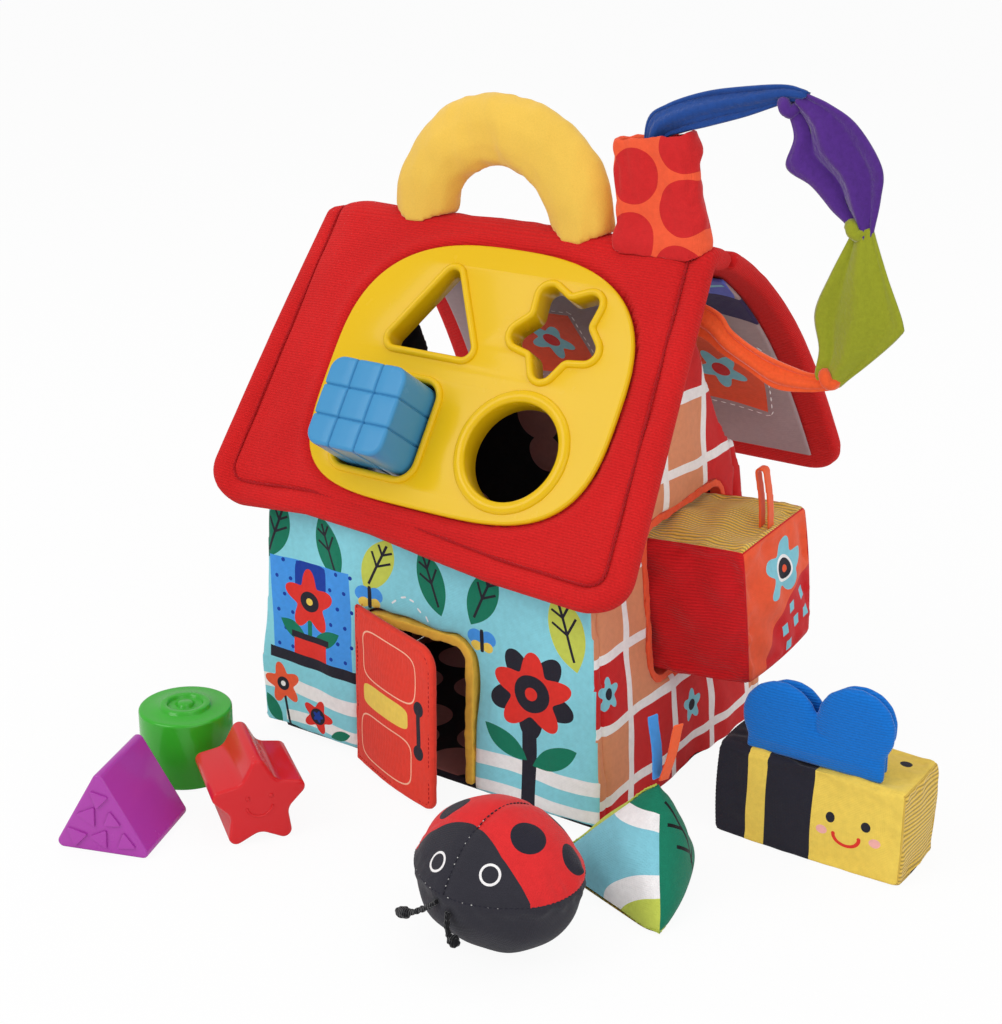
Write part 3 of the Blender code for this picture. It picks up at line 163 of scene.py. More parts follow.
def size(tree, value):
    return maths(tree, "ABSOLUTE", value)


def roundMeasure(tree, along, side):
    return maths(tree, "ADD", times(tree, along, along), times(tree, side, side))


def leafMeasure(tree, along, side):
    bow = maths(tree, "POWER", size(tree, along), 2.2)
    return maths(tree, "ADD", size(tree, side), bow)


def barMeasure(tree, along, side):
    return maths(tree, "MAXIMUM", size(tree, along), size(tree, side))


def padMeasure(tree, along, side):
    return maths(tree, "ADD", *[maths(tree, "POWER", size(tree, value), 5.0) for value in (along, side)])


def petalMeasure(tree, along, side):
    reach = maths(tree, "SQRT", roundMeasure(tree, along, side))
    wave = maths(tree, "COSINE", times(tree, maths(tree, "ARCTAN2", side, along), 5.0))
    return maths(tree, "DIVIDE", reach, scaled(tree, wave, 0.22, 0.78))


def waveMeasure(tree, along, side):
    bend = maths(tree, "SINE", times(tree, along, 3.4))
    return barMeasure(tree, along, scaled(tree, bend, 0.35, side))


shapes = {
    "round": buildShape("print round", roundMeasure), "leaf": buildShape("print leaf", leafMeasure),
    "bar": buildShape("print bar", barMeasure), "pad": buildShape("print rounded square", padMeasure),
    "petal": buildShape("print flower", petalMeasure), "wave": buildShape("print wavy stripe", waveMeasure),
}


def shapeMask(tree, at, kind, centre, half, turn):
    values = {"Across": at[0], "Up": at[1], "Centre X": centre[0], "Centre Y": centre[1],
              "Half X": half[0], "Half Y": half[1], "Turn": math.radians(turn)}
    return useGroup(tree, shapes[kind], **values)[0]


def printArt(tree, at, base, art):
    # Lays flat printed shapes over a base colour: (shape, centre, half sizes, turn, colour), in millimetres
    for kind, centre, half, turn, colour in art:
        centre, half = [[value / 1000 for value in pair] for pair in (centre, half)]
        base = mixed(tree, shapeMask(tree, at, kind, centre, half, turn), base, linear(colour))
    return base


# Cloth groups: each gives a height for bump and a shade that darkens or lightens the colour. In the pile and
# the ribs that shade is partly painted shade, darker where the cloth is lower

def buildWeave(tree, into):
    turn = maths(tree, "DIVIDE", math.tau, into["Pitch"])
    waves = [maths(tree, "SINE", times(tree, part, turn)) for part in separate(tree, into["Place"])]
    height = maths(tree, "ADD", maths(tree, "ADD", waves[0], waves[1]), waves[2])
    slub = noise(tree, into["Place"], 420.0, 4.0)
    cloud = noise(tree, into["Place"], 26.0, 2.0)
    shade = scaled(tree, slub, 0.24, 0.78)
    return scaled(tree, height, 0.16, slub), scaled(tree, cloud, 0.20, shade)


def buildPile(tree, into):
    # Fleece and plush: short curled fibres. The fibre shade is painted: lighter on the raised fibres and
    # darker between them, and in velour its patches stand for the mottled sheen, a painted sheen. The broad
    # cloud is random tone
    fibre = noise(tree, into["Place"], into["Fibre"], 5.0, Roughness=0.68)
    tuft = noise(tree, into["Place"], 130.0, 3.0)
    cloud = noise(tree, into["Place"], 22.0, 2.0)
    # Painted shade and sheen: the colour follows the fibres' height
    shade = scaled(tree, maths(tree, "SUBTRACT", fibre, 0.5), into["Depth"], 1.0)
    shade = scaled(tree, maths(tree, "SUBTRACT", cloud, 0.5), 0.30, shade)
    return scaled(tree, tuft, 0.6, fibre), shade


def buildRibs(tree, into):
    # Corduroy: Along is the place across the ribs. The shade is painted: the grooves between the ribs and the
    # low fibres are darker, as painted shade
    wobble = noise(tree, into["Place"], 60.0, 1.0)
    along = scaled(tree, wobble, 0.0006, into["Along"])
    phase = times(tree, along, maths(tree, "DIVIDE", math.tau, into["Pitch"]))
    rib = maths(tree, "POWER", scaled(tree, maths(tree, "SINE", phase), 0.5, 0.5), 0.6)
    fibre = noise(tree, into["Place"], 1100.0, 3.0)
    # Painted shade in the grooves between the ribs, set by the depth input
    shade = scaled(tree, maths(tree, "SUBTRACT", rib, 0.6), into["Depth"], 1.0)
    shade = scaled(tree, maths(tree, "SUBTRACT", fibre, 0.5), 0.35, shade)
    return scaled(tree, fibre, 0.35, rib), shade


def buildMould(tree, into):
    # Moulded plastic: faint flow marks and handling scuffs
    flow = noise(tree, into["Place"], 18.0, 1.0)
    mark = maths(tree, "GREATER_THAN", noise(tree, into["Place"], 240.0, 4.0), 0.62)
    rough = scaled(tree, mark, 0.05, 0.19)
    return flow, scaled(tree, flow, 0.06, 0.97), scaled(tree, flow, 0.06, rough)


spot, relief = {"Place": "NodeSocketVector"}, {"Height": 0, "Shade": 0}
weave = makeGroup("fine weave", {**spot, "Pitch": 0.0007}, relief, buildWeave)
pile = makeGroup("pile", {**spot, "Fibre": 900.0, "Depth": 0.35}, relief, buildPile)
ribs = makeGroup("corduroy ribs", {**spot, "Along": 0, "Pitch": 0.0016, "Depth": 0.45}, relief, buildRibs)
mould = makeGroup("moulded plastic", spot, {**relief, "Roughness": 0}, buildMould)


# Materials

def startMaterial(name):
    made = bpy.data.materials.new(name)
    made.use_nodes = True
    tree = made.node_tree
    place = add(tree, "ShaderNodeTexCoord").outputs["Object"]
    return made, tree, tree.nodes["Principled BSDF"], place


def cover(tree, shader, colour, shade, height, bump, distance, **values):
    # Colour times shade, and a relief; values are the shader's other sockets, with _ for each space
    tinted = add(tree, "ShaderNodeMix", {0: 1.0, 6: colour, 7: shade}, data_type="RGBA", blend_type="MULTIPLY")
    raised = add(tree, "ShaderNodeBump", {"Strength": bump, "Distance": distance, "Height": height})
    values |= {"Base Color": tinted.outputs[2], "Normal": raised.outputs["Normal"]}
    for label, value in values.items():
        feed(tree, shader, label.replace("_", " "), value)


def mapParts(tree):
    # The flat place on the cloth, from its own map, in metres
    return separate(tree, add(tree, "ShaderNodeUVMap", uv_map="cloth").outputs[0])


def cloth(name, colour, kind, art=(), mapped=False, along=None, bump=0.35, distance=0.0004, roughness=0.88,
          sheen=0.15, **values):
    # Cloth of one kind, with printed shapes where art is given. Print and ribs follow the cloth's own map
    # where it is mapped. colour is a name, or a function of the tree and the place
    made, tree, shader, place = startMaterial(name)
    parts = mapParts(tree) if mapped else separate(tree, place)
    if callable(colour):
        base = colour(tree, place)
    else:
        base = add(tree, "ShaderNodeRGB").outputs[0]
        base.default_value = linear(colour)
    base = printArt(tree, (parts[0], parts[1 if mapped else 2]), base, art)
    if along is not None:
        values["Along"] = parts[along]
    woven = useGroup(tree, kind, Place=place, **values)
    cover(tree, shader, base, woven["Shade"], woven["Height"], bump, distance, Roughness=roughness,
          Sheen_Weight=sheen, Sheen_Roughness=0.4, Specular_IOR_Level=0.2)
    return made


def cotton(name, colour, art=(), **changes):
    return cloth(name, colour, weave, art, **changes)


def mapCotton(name, colour, art):
    return cloth(name, colour, weave, art, mapped=True, roughness=0.86)


def pileCloth(name, colour, **changes):
    return cloth(name, colour, pile, roughness=0.95, **changes)


def cordCloth(name, colour, along, sheen=0.35, **changes):
    return cloth(name, colour, ribs, along=along, roughness=0.92, sheen=sheen, **changes)


def mapCord(name, colour, pitch, depth, bump=0.75, distance=0.0006):
    return cordCloth(name, colour, 1, 0.3, mapped=True, Pitch=pitch, Depth=depth, bump=bump, distance=distance)


def plastic(name, colour, gloss):
    made, tree, shader, place = startMaterial(name)
    cast = useGroup(tree, mould, Place=place)
    cover(tree, shader, linear(colour), cast["Shade"], cast["Height"], 0.03, 0.001,
          Roughness=cast["Roughness"], Specular_IOR_Level=gloss, Coat_Weight=gloss * 0.5, Coat_Roughness=0.08)
    return made


# Mesh helpers

def addPiece(name, mesh, look):
    piece = bpy.data.objects.new(name, mesh)
    bpy.context.scene.collection.objects.link(piece)
    if look:
        if len(mesh.materials):
            mesh.materials.clear()
        for one in look if isinstance(look, (list, tuple)) else [look]:
            mesh.materials.append(one)
    return piece


def fromBmesh(name, bm, look, smooth=True, angle=None):
    bmesh.ops.recalc_face_normals(bm, faces=bm.faces)
    mesh = bpy.data.meshes.new(name)
    bm.to_mesh(mesh)
    bm.free()
    if smooth:
        mesh.shade_smooth()
    if angle:
        mesh.set_sharp_from_angle(angle=math.radians(angle))
    return addPiece(name, mesh, look)


def evaluated(piece):
    bpy.context.view_layer.update()
    return bpy.data.meshes.new_from_object(piece.evaluated_get(bpy.context.evaluated_depsgraph_get()))


def settle(piece):
    # Turns the modifiers into plain mesh
    mesh = evaluated(piece)
    piece.modifiers.clear()
    piece.data = mesh
    return piece


def solidCopy(name, node, voxel, look, smoothing):
    # A fine even mesh of a CAD node, softened, to be shaped as cloth
    bm = bmesh.new()
    bm.from_mesh(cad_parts[node].data)
    bmesh.ops.remove_doubles(bm, verts=bm.verts, dist=1e-6)
    mesh = bpy.data.meshes.new(name)
    bm.to_mesh(mesh)
    bm.free()
    piece = addPiece(name, mesh, look)
    remesh = piece.modifiers.new("Even", "REMESH")
    remesh.mode = "VOXEL"
    remesh.voxel_size = voxel
    soft = piece.modifiers.new("Soft", "SMOOTH")
    soft.iterations = smoothing
    soft.factor = 0.5
    settle(piece)
    piece.data.shade_smooth()
    return piece


def triples(parts, key):
    found = np.empty(len(parts) * 3, np.float32)
    parts.foreach_get(key, found)
    return found.reshape(-1, 3).astype(float)


def places(piece):
    return triples(piece.data.vertices, "co")


def place(piece, found):
    piece.data.vertices.foreach_set("co", found.astype(np.float32).ravel())
    piece.data.update()


def push(piece, amount):
    # Moves each point along its normal by an amount in metres
    place(piece, places(piece) + triples(piece.data.vertex_normals, "vector") * amount[:, None])


def ripple(found, scale, seed, count=8):
    # Smooth random waves of about one length, between about -1 and 1
    source = np.random.default_rng(seed)
    total = np.zeros(len(found))
    for _ in range(count):
        way = source.normal(size=3)
        way /= np.linalg.norm(way)
        waves = found @ way * math.tau / scale * source.uniform(0.65, 1.5)
        total += np.sin(waves + source.uniform(0, math.tau))
    return total / math.sqrt(count)


def flatRipple(flat, scale, seed):
    return ripple(np.column_stack([flat, np.zeros(len(flat))]), scale, seed)


def faceLooks(piece, choose):
    # Gives each face its material: choose gets centres and normals and returns a number for each
    faces = piece.data.polygons
    index = choose(triples(faces, "center"), triples(faces, "normal"))
    faces.foreach_set("material_index", np.asarray(index, np.int32))
    piece.data.update()


def curveMesh(name, dimensions, lines, closed, merge, **settings):
    # The mesh of bevelled lines, as a bmesh
    curve = bpy.data.curves.new(name, "CURVE")
    curve.dimensions = dimensions
    for key, value in settings.items():
        setattr(curve, key, value)
    for line in lines:
        spline = curve.splines.new("POLY")
        spline.points.add(len(line) - 1)
        for point, at in zip(spline.points, line):
            point.co = (*Vector(at).to_3d(), 1)
        spline.use_cyclic_u = closed
    source = bpy.data.objects.new(name, curve)
    bpy.context.scene.collection.objects.link(source)
    mesh = evaluated(source)
    bpy.data.objects.remove(source, do_unlink=True)
    bm = bmesh.new()
    bm.from_mesh(mesh)
    bmesh.ops.remove_doubles(bm, verts=bm.verts, dist=merge)
    return bm


def tube(name, line, radius, look, sides=6, closed=False):
    bm = curveMesh(name, "3D", [line], closed, 1e-7, bevel_depth=radius,
                   bevel_resolution=max(0, sides // 4 - 1), use_fill_caps=not closed)
    return fromBmesh(name, bm, look)


def joined(name, pieces, look=None):
    # One object from several, each with its own materials kept
    bm = bmesh.new()
    looks = []
    for piece in pieces:
        start = len(bm.faces)
        bm.from_mesh(piece.data)
        bm.faces.ensure_lookup_table()
        for face in bm.faces[start:]:
            face.material_index = 0 if look else face.material_index + len(looks)
        looks += list(piece.data.materials)
        bpy.data.objects.remove(piece, do_unlink=True)
    mesh = bpy.data.meshes.new(name)
    bm.to_mesh(mesh)
    bm.free()
    return addPiece(name, mesh, look or looks)


def curveThrough(points, count):
    # Even places on a smooth curve through the given ones
    found = np.array(points, float)
    padded = np.vstack([found[0] * 2 - found[1], found, found[-1] * 2 - found[-2]])
    spans = len(padded) - 3
    dense = []
    for value in np.linspace(0, spans, count * 8):
        k = min(int(value), spans - 1)
        t = value - k
        a, b, c, d = padded[k:k + 4]
        dense.append(0.5 * (b * 2 + (c - a) * t + (a * 2 - b * 5 + c * 4 - d) * t * t
                            + (b * 3 - a - c * 3 + d) * t**3))
    dense = np.array(dense)
    travel = np.concatenate([[0], np.cumsum(np.linalg.norm(np.diff(dense, axis=0), axis=1))])
    wanted = np.linspace(0, travel[-1], count)
    return np.stack([np.interp(wanted, travel, dense[:, k]) for k in range(dense.shape[1])], 1)


def distanceTo(points, outline):
    # Shortest distance from flat points to a closed outline
    best = np.full(len(points), 1e9)
    for start, end in zip(outline, np.roll(outline, -1, axis=0)):
        along = end - start
        share = np.clip(((points - start) @ along) / max(along @ along, 1e-18), 0, 1)
        best = np.minimum(best, np.linalg.norm(points - start - share[:, None] * along, axis=1))
    return best


# Stitches and cords

def buildStitches():
    # Geometry Nodes: thread dashes along a line
    geometry = {"Geometry": "NodeSocketGeometry"}
    inputs = {**geometry, "Spacing": 0.003, "Length": 0.002, "Thickness": 0.0003, "Look": "NodeSocketMaterial"}
    tree, into, out = startTree("stitches along a line", "GeometryNodeTree", inputs, geometry)
    curve = add(tree, "GeometryNodeMeshToCurve", {0: into["Geometry"]})
    even = add(tree, "GeometryNodeResampleCurve", {0: curve.outputs[0], "Length": into["Spacing"]},
               mode="LENGTH")
    tangent = add(tree, "GeometryNodeInputTangent")
    turned = add(tree, "FunctionNodeAlignRotationToVector", {"Vector": tangent.outputs[0]}, axis="Z")
    dash = add(tree, "GeometryNodeMeshUVSphere", {"Segments": 6, "Rings": 4, "Radius": 0.5})
    wide = add(tree, "ShaderNodeCombineXYZ", {0: into["Thickness"], 1: into["Thickness"], 2: into["Length"]})
    instances = add(tree, "GeometryNodeInstanceOnPoints",
                    {"Points": even.outputs[0], "Instance": dash.outputs[0],
                     "Rotation": turned.outputs[0], "Scale": wide.outputs[0]})
    real = add(tree, "GeometryNodeRealizeInstances", {0: instances.outputs[0]})
    smooth = add(tree, "GeometryNodeSetShadeSmooth", {0: real.outputs[0]})
    look = add(tree, "GeometryNodeSetMaterial", {0: smooth.outputs[0], "Material": into["Look"]})
    feed(tree, out, 0, look.outputs[0])
    return tree


stitches = buildStitches()


def stitchLine(name, line, look, spacing, length, thickness, closed=False):
    mesh = bpy.data.meshes.new(name)
    count = len(line)
    edges = [(k, k + 1) for k in range(count - 1)] + ([(count - 1, 0)] if closed else [])
    mesh.from_pydata([tuple(point) for point in line], edges, [])
    piece = addPiece(name, mesh, None)
    modifier = piece.modifiers.new("Stitches", "NODES")
    modifier.node_group = stitches
    values = {"Spacing": spacing, "Length": length, "Thickness": thickness, "Look": look}
    for item in stitches.interface.items_tree:
        if item.name in values:
            modifier[item.identifier] = values[item.name]
    return settle(piece)


def twistedCord(name, line, radius, look, turnLength):
    # A sewn cord: two strands wound round each other along a line
    line = np.array(line, float)
    tangent = np.vstack([line[1:], line[-1:] * 2 - line[-2:-1]]) - line
    length = np.linalg.norm(tangent, axis=1)
    travel = np.concatenate([[0], np.cumsum(length)])[:-1]
    tangent /= length[:, None]
    side = np.cross(tangent, [0.13, 0.31, 0.94])
    side /= np.linalg.norm(side, axis=1)[:, None]
    over = np.cross(side, tangent)
    made = []
    for strand in range(2):
        turn = travel / turnLength * math.tau + math.pi * strand
        path = line + (side * np.cos(turn)[:, None] + over * np.sin(turn)[:, None]) * radius * 0.5
        made.append(tube(f"{name}{strand}", path, radius * 0.62, look))
    return joined(name, made, look)


def dress(piece, body, slot, node=None):
    # Hangs a finished piece on its body and lets it stand for its CAD node
    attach(piece, body)
    if node:
        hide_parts(node)


# Camera, floor and light

stageValues = {
    "camera": (0.4140, -0.6268, 0.3753), "forward": (-0.52576, 0.77883, -0.34206), "roll": 0.47,
    "lens": 1794.48 / 1024 * 36, "world": 0.62, "floor": 0.93, "aim": (0.02, -0.02, 0.1),
}
lamps = {
    "key": ((-0.55, -1.25, 1.25), 1.1, 9.0),
    "fill": ((1.35, -0.75, 0.75), 1.2, 4.4),
    "top": ((0.1, 0.3, 1.6), 1.3, 5.0),
}


def seen(tree):
    path = add(tree, "ShaderNodeLightPath").outputs
    return maths(tree, "MAXIMUM", path["Is Camera Ray"], path["Is Transmission Ray"])


def buildStage():
    scene = bpy.context.scene
    data = bpy.data.cameras.new("camera")
    data.lens = stageValues["lens"]
    data.sensor_width = 36
    scene.camera = bpy.data.objects.new("camera", data)
    scene.collection.objects.link(scene.camera)
    aim = Vector(stageValues["forward"]).to_track_quat("-Z", "Y").to_matrix().to_4x4()
    roll = Matrix.Rotation(math.radians(stageValues["roll"]), 4, "Z")
    scene.camera.matrix_world = Matrix.Translation(stageValues["camera"]) @ aim @ roll
    scene.view_settings.view_transform = "Standard"

    bm = bmesh.new()
    bmesh.ops.create_grid(bm, x_segments=8, y_segments=8, size=14)
    floor = fromBmesh("floor", bm, None, smooth=False)
    floor.location.z = -0.0002
    look = bpy.data.materials.new("pale floor")
    look.use_nodes = True
    tree = look.node_tree
    shader = tree.nodes["Principled BSDF"]
    shader.inputs["Base Color"].default_value = (*[stageValues["floor"]] * 3, 1)
    shader.inputs["Roughness"].default_value = 0.9
    glow = add(tree, "ShaderNodeEmission", {"Color": (1, 1, 1, 1), "Strength": 1.0})
    share = times(tree, seen(tree), stageValues["floor"])
    both = add(tree, "ShaderNodeMixShader", {0: share, 1: shader.outputs[0], 2: glow.outputs[0]})
    tree.links.new(both.outputs[0], tree.nodes["Material Output"].inputs["Surface"])
    floor.data.materials.append(look)

    scene.world = bpy.data.worlds.new("studio")
    scene.world.use_nodes = True
    tree = scene.world.node_tree
    back = tree.nodes["Background"]
    back.inputs["Color"].default_value = (1, 1, 1, 1)
    level = stageValues["world"]
    feed(tree, back, "Strength", scaled(tree, seen(tree), 1 - level, level))

    for name, (at, wide, power) in lamps.items():
        data = bpy.data.lights.new(name, "AREA")
        data.shape = "DISK"
        data.size = wide
        data.energy = power
        lamp = bpy.data.objects.new(name, data)
        scene.collection.objects.link(lamp)
        lamp.location = at
        lamp.rotation_euler = (Vector(stageValues["aim"]) - Vector(at)).to_track_quat("-Z", "Y").to_euler()


buildStage()
print("stage ready")


# Outlines, in metres: pairs of a place and its outward normal

def roundedOutline(corners, radii, steps=8):
    found = []
    for k, at in enumerate(corners):
        corner = Vector(at)
        back = (Vector(corners[k - 1]) - corner).normalized()
        ahead = (Vector(corners[(k + 1) % len(corners)]) - corner).normalized()
        half = back.angle(ahead) / 2
        middle = corner + (back + ahead).normalized() * radii[k] / math.sin(half)
        arm = corner + back * radii[k] / math.tan(half) - middle
        side = 1 if ahead.cross(back) > 0 else -1
        for step in range(steps + 1):
            turned = arm.copy()
            turned.rotate(Matrix.Rotation(side * (math.pi - 2 * half) * step / steps, 2))
            found.append((middle + turned, turned.normalized() * side))
    return found


def regular(count, radius, first=math.pi / 2):
    turns = [first + math.tau * k / count for k in range(count)]
    return [(radius * math.cos(turn), radius * math.sin(turn)) for turn in turns]


def starOutline(first):
    pairs = zip(regular(5, starValues["tip"], first), regular(5, starValues["notch"], first + math.pi / 5))
    radii = [starValues["tipRadius"], starValues["notchRadius"]] * 5
    return roundedOutline([point for pair in pairs for point in pair], radii)


def grown(outline, amount, centre=(0, 0)):
    return [point + normal * amount + Vector(centre) for point, normal in outline]


def slab(name, outlines, thickness, rounding, look, matrix, segments=4):
    # A flat plate with rounded edges: the first outline is its border, the others are holes
    bm = curveMesh(name, "2D", outlines, True, 1e-6, fill_mode="BOTH", extrude=thickness / 2 - rounding,
                   bevel_depth=rounding, bevel_resolution=segments, offset=-rounding)
    bmesh.ops.transform(bm, matrix=matrix, verts=bm.verts)
    return fromBmesh(name, bm, look, angle=38)


def ring(name, outline, profile, look, matrix, centre=(0, 0)):
    # A closed ring: each point of the outline carries the profile of (distance out, height)
    bm = bmesh.new()
    loops = []
    for point, normal in outline:
        at = [(point + normal * out + Vector(centre), height) for out, height in profile]
        loops.append([bm.verts.new(matrix @ Vector((*flat, height))) for flat, height in at])
    for loop, following in zip(loops, loops[1:] + loops[:1]):
        for k in range(len(profile)):
            after = (k + 1) % len(profile)
            bm.faces.new((loop[k], following[k], following[after], loop[after]))
    return fromBmesh(name, bm, look, angle=45)


def unitBlock(bm, lines):
    # The six sides of a block from -1 to 1, with grid lines at the given shares: yields axis, side and faces
    for axis in range(3):
        first, second = [k for k in range(3) if k != axis]
        for side in (-1, 1):
            grid = []
            for a in lines:
                row = []
                for b in lines:
                    unit = [0, 0, 0]
                    unit[axis], unit[first], unit[second] = side, a, b
                    row.append(bm.verts.new(unit))
                grid.append(row)
            yield axis, side, [bm.faces.new((row[k], following[k], following[k + 1], row[k + 1]))
                               for row, following in zip(grid, grid[1:]) for k in range(len(lines) - 1)]


# Moulded plastic: the sorter plate and its four shapes

starValues = {"tip": 0.0235, "notch": 0.0122, "tipRadius": 0.0032, "notchRadius": 0.0058, "length": 0.038,
              "at": (-0.0380, -0.1405), "turn": 53.9, "smile": 0.00055, "eye": 0.0010}
plateValues = {
    "centre": (0.0065, -0.0695), "half": (0.0715, 0.0580), "powers": (2.7, 2.7, 4.2, 3.3),
    "skin": 0.0030, "proud": 0.0032, "collar": 0.0095, "wall": 0.0022, "bead": 0.0018,
    "beadWide": 0.0032, "circleBeadWide": 0.0052, "clearance": 0.0010, "squareHalf": 0.0205,
    "squareCorner": 0.007, "circle": 0.020, "triangleSide": 0.043, "triangleCorner": 0.0035,
}
holes = {
    "square": (-0.0258, -0.0957), "circle": (0.0375, -0.0960),
    "triangle": (-0.0178, -0.0480), "star": (0.0400, -0.0435),
}


def plateBorder(count):
    found = []
    for step in range(count):
        turn = math.tau * step / count
        power = plateValues["powers"][int(4 * step / count)]
        unit = (math.cos(turn), math.sin(turn))
        reach = (abs(unit[0]) ** power + abs(unit[1]) ** power) ** (-1 / power)
        unit = [value * reach for value in unit]
        normal = Vector([math.copysign(abs(value) ** (power - 1), value) / half
                         for value, half in zip(unit, plateValues["half"])]).normalized()
        at = Vector([value * half for value, half in zip(unit, plateValues["half"])])
        found.append((at + Vector(plateValues["centre"]), normal))
    return found


def buildPlate():
    look = plastic("yellow sorter plastic", "plate", 0.2)
    free = plateValues["clearance"]
    ways = [Vector((math.cos(t), math.sin(t))) for t in np.linspace(0, math.tau, 72, endpoint=False)]
    half, side = plateValues["squareHalf"], plateValues["triangleSide"]
    outlines = {
        "square": roundedOutline([(-half, -half), (half, -half), (half, half), (-half, half)],
                                 [plateValues["squareCorner"]] * 4, 12),
        "circle": [(way * (plateValues["circle"] + free), way) for way in ways],
        "triangle": roundedOutline(regular(3, side / math.sqrt(3) + 2 * free),
                                   [plateValues["triangleCorner"]] * 3, 10),
        "star": [(point + normal * free, normal) for point, normal in starOutline(math.radians(51))],
    }
    top, skin, wall = plateValues["proud"], plateValues["skin"], plateValues["wall"]
    openings = [grown(outline, wall / 2, holes[name]) for name, outline in outlines.items()]
    pieces = [slab("plateSkin", [grown(plateBorder(200), 0)] + openings, skin, 0.0012, look,
                   slopeFrame @ Matrix.Translation((0, 0, top - skin / 2)))]
    low = top - plateValues["collar"]
    for name, outline in outlines.items():
        wide = plateValues["circleBeadWide" if name == "circle" else "beadWide"]
        profile = [(wide / 2 * (1 - math.cos(t)), top - 0.0001 + plateValues["bead"] * math.sin(t))
                   for t in [math.pi * step / 12 for step in range(13)]]
        profile += [(wide, top - skin / 2), (wall, top - skin / 2), (wall, low), (0.0004, low),
                    (0, low + 0.0004)]
        pieces.append(ring(name + "Collar", outline, profile, look, slopeFrame, holes[name]))
    skirt = [(-0.0037, top - 0.0018), (-0.0015, top - 0.0018), (-0.0015, -0.010), (0.007, -0.010),
             (0.007, -0.0118), (-0.0037, -0.0118)]
    pieces.append(ring("plateSkirt", plateBorder(120), skirt, look, slopeFrame))
    dress(joined("sorterPlate", pieces, look), "house", "yellow_plastic", "sorter_plate")


cubeValues = {"half": 0.0195, "radius": 0.0064, "edge": 0.0017, "proud": 0.0235, "inset": 0.0003,
              "groove": 0.0009, "grooveWide": 0.00040, "dome": 0.00016, "domeWide": 0.003}


def cubePoint(full):
    # A place on a square block with round upright corners and narrower rounding at its two ends
    half, radius, edge = cubeValues["half"], cubeValues["radius"], cubeValues["edge"]
    inner = Vector([max(-(half - radius), min(half - radius, full[k])) for k in (0, 1)] + [0])
    out = Vector((full[0], full[1], 0)) - inner
    reach = max(abs(out.x), abs(out.y))
    way = out.normalized() if reach > 0 else out
    inset, tall = radius - reach, half - abs(full[2])
    side, end = max(0, edge - inset), max(0, edge - tall)
    length = math.hypot(side, end)
    if length > 0:
        side, end = side * edge / length, end * edge / length
    inset = edge - side if side > 0 else inset
    tall = edge - end if end > 0 else tall
    sign = math.copysign(1, full[2])
    at = inner + way * (radius - inset) + Vector((0, 0, sign * (half - tall)))
    return at, (way * side + Vector((0, 0, sign * end))).normalized()


def buildCube():
    # Nine flat pads on the face, with narrow grooves between them that run on down the sides
    half = cubeValues["half"]
    near = np.array([0.007, 0.018, 0.034, 0.055, 0.085])
    rim = np.array([0.86, 0.895, 0.92, 0.945, 0.965, 0.985])
    lines = [np.linspace(-1, 1, 25), rim, -rim]
    lines += [third + side * near for third in (-1 / 3, 1 / 3) for side in (-1, 1)]
    rise = plateValues["proud"] + cubeValues["proud"] - half
    matrix = slopeFrame @ Matrix.Translation((*holes["square"], rise))
    bm = bmesh.new()
    list(unitBlock(bm, np.unique(np.round(np.concatenate(lines), 4))))
    bmesh.ops.remove_doubles(bm, verts=bm.verts, dist=1e-5)
    for vert in bm.verts:
        at, normal = cubePoint(vert.co * half)
        sink = cubeValues["inset"]
        for k in range(2):
            gap = abs(abs(at[k]) - half / 3)
            upright = 1 - normal[k] ** 2
            cut = math.exp(-((gap / cubeValues["grooveWide"]) ** 2))
            sink += cubeValues["groove"] * cut * math.sqrt(max(0, upright))
            sink -= cubeValues["dome"] * min(1, gap / cubeValues["domeWide"]) * upright
        vert.co = matrix @ (at - normal * sink)
    piece = fromBmesh("blueCube", bm, plastic("blue cube plastic", "cube", 0.15))
    dress(piece, "blue_cube", "blue_plastic", "blue_cube")


cylinderValues = {"radius": 0.020, "height": 0.031, "edge": 0.0013, "relief": 0.0016,
                  "at": (-0.0893, -0.1235, 0)}


def buildCylinder():
    # Its top has a boss and a ring round it
    radius, height, edge, proud = [cylinderValues[key] for key in ("radius", "height", "edge", "relief")]
    profile = [(0, proud), (0.0029, proud), (0.0033, proud - 0.0003), (0.0036, 0.0002), (0.0038, 0),
               (0.0072, 0), (0.0074, 0.0002), (0.0077, proud - 0.0003), (0.0081, proud), (0.0104, proud),
               (0.0108, proud - 0.0003), (0.0111, 0.0002), (0.0114, 0), (0.0176, 0)]
    profile = [(x, height + z) for x, z in profile]
    profile += [(radius - edge + edge * math.sin(t), height - edge + edge * math.cos(t))
                for t in np.linspace(0, math.pi / 2, 6)]
    profile += [(radius, 0.0016), (radius - 0.0004, 0.0005), (radius - 0.0014, 0), (0, 0)]
    bm = bmesh.new()
    verts = [bm.verts.new((x, 0, z)) for x, z in profile]
    edges = [bm.edges.new(pair) for pair in zip(verts, verts[1:])]
    bmesh.ops.spin(bm, geom=verts + edges, cent=(0, 0, 0), axis=(0, 0, 1), angle=math.tau, steps=96)
    bmesh.ops.remove_doubles(bm, verts=bm.verts, dist=1e-6)
    bmesh.ops.translate(bm, verts=bm.verts, vec=cylinderValues["at"])
    piece = fromBmesh("greenCylinder", bm, plastic("green cylinder plastic", "green", 0.35), angle=50)
    dress(piece, "green_cylinder", "green_plastic", "green_cylinder")


def onFloor(at, turn):
    # The frame of a piece that stands on its side on the floor
    return (Matrix.Translation(at) @ Matrix.Rotation(math.radians(turn), 4, "Z")
            @ Matrix.Rotation(math.pi / 2, 4, "X"))


prismValues = {
    "side": 0.043, "length": 0.038, "corner": 0.0025, "at": (-0.0750, -0.1770), "turn": 19.4, "relief": 0.0018,
    "marks": [(0, 0.28, 0.0066), (-0.11, 0.09, 0.0074), (0.12, 0.07, 0.0062), (-0.25, -0.14, 0.0074),
              (0, -0.13, 0.0070), (0.25, -0.14, 0.0066)],
}


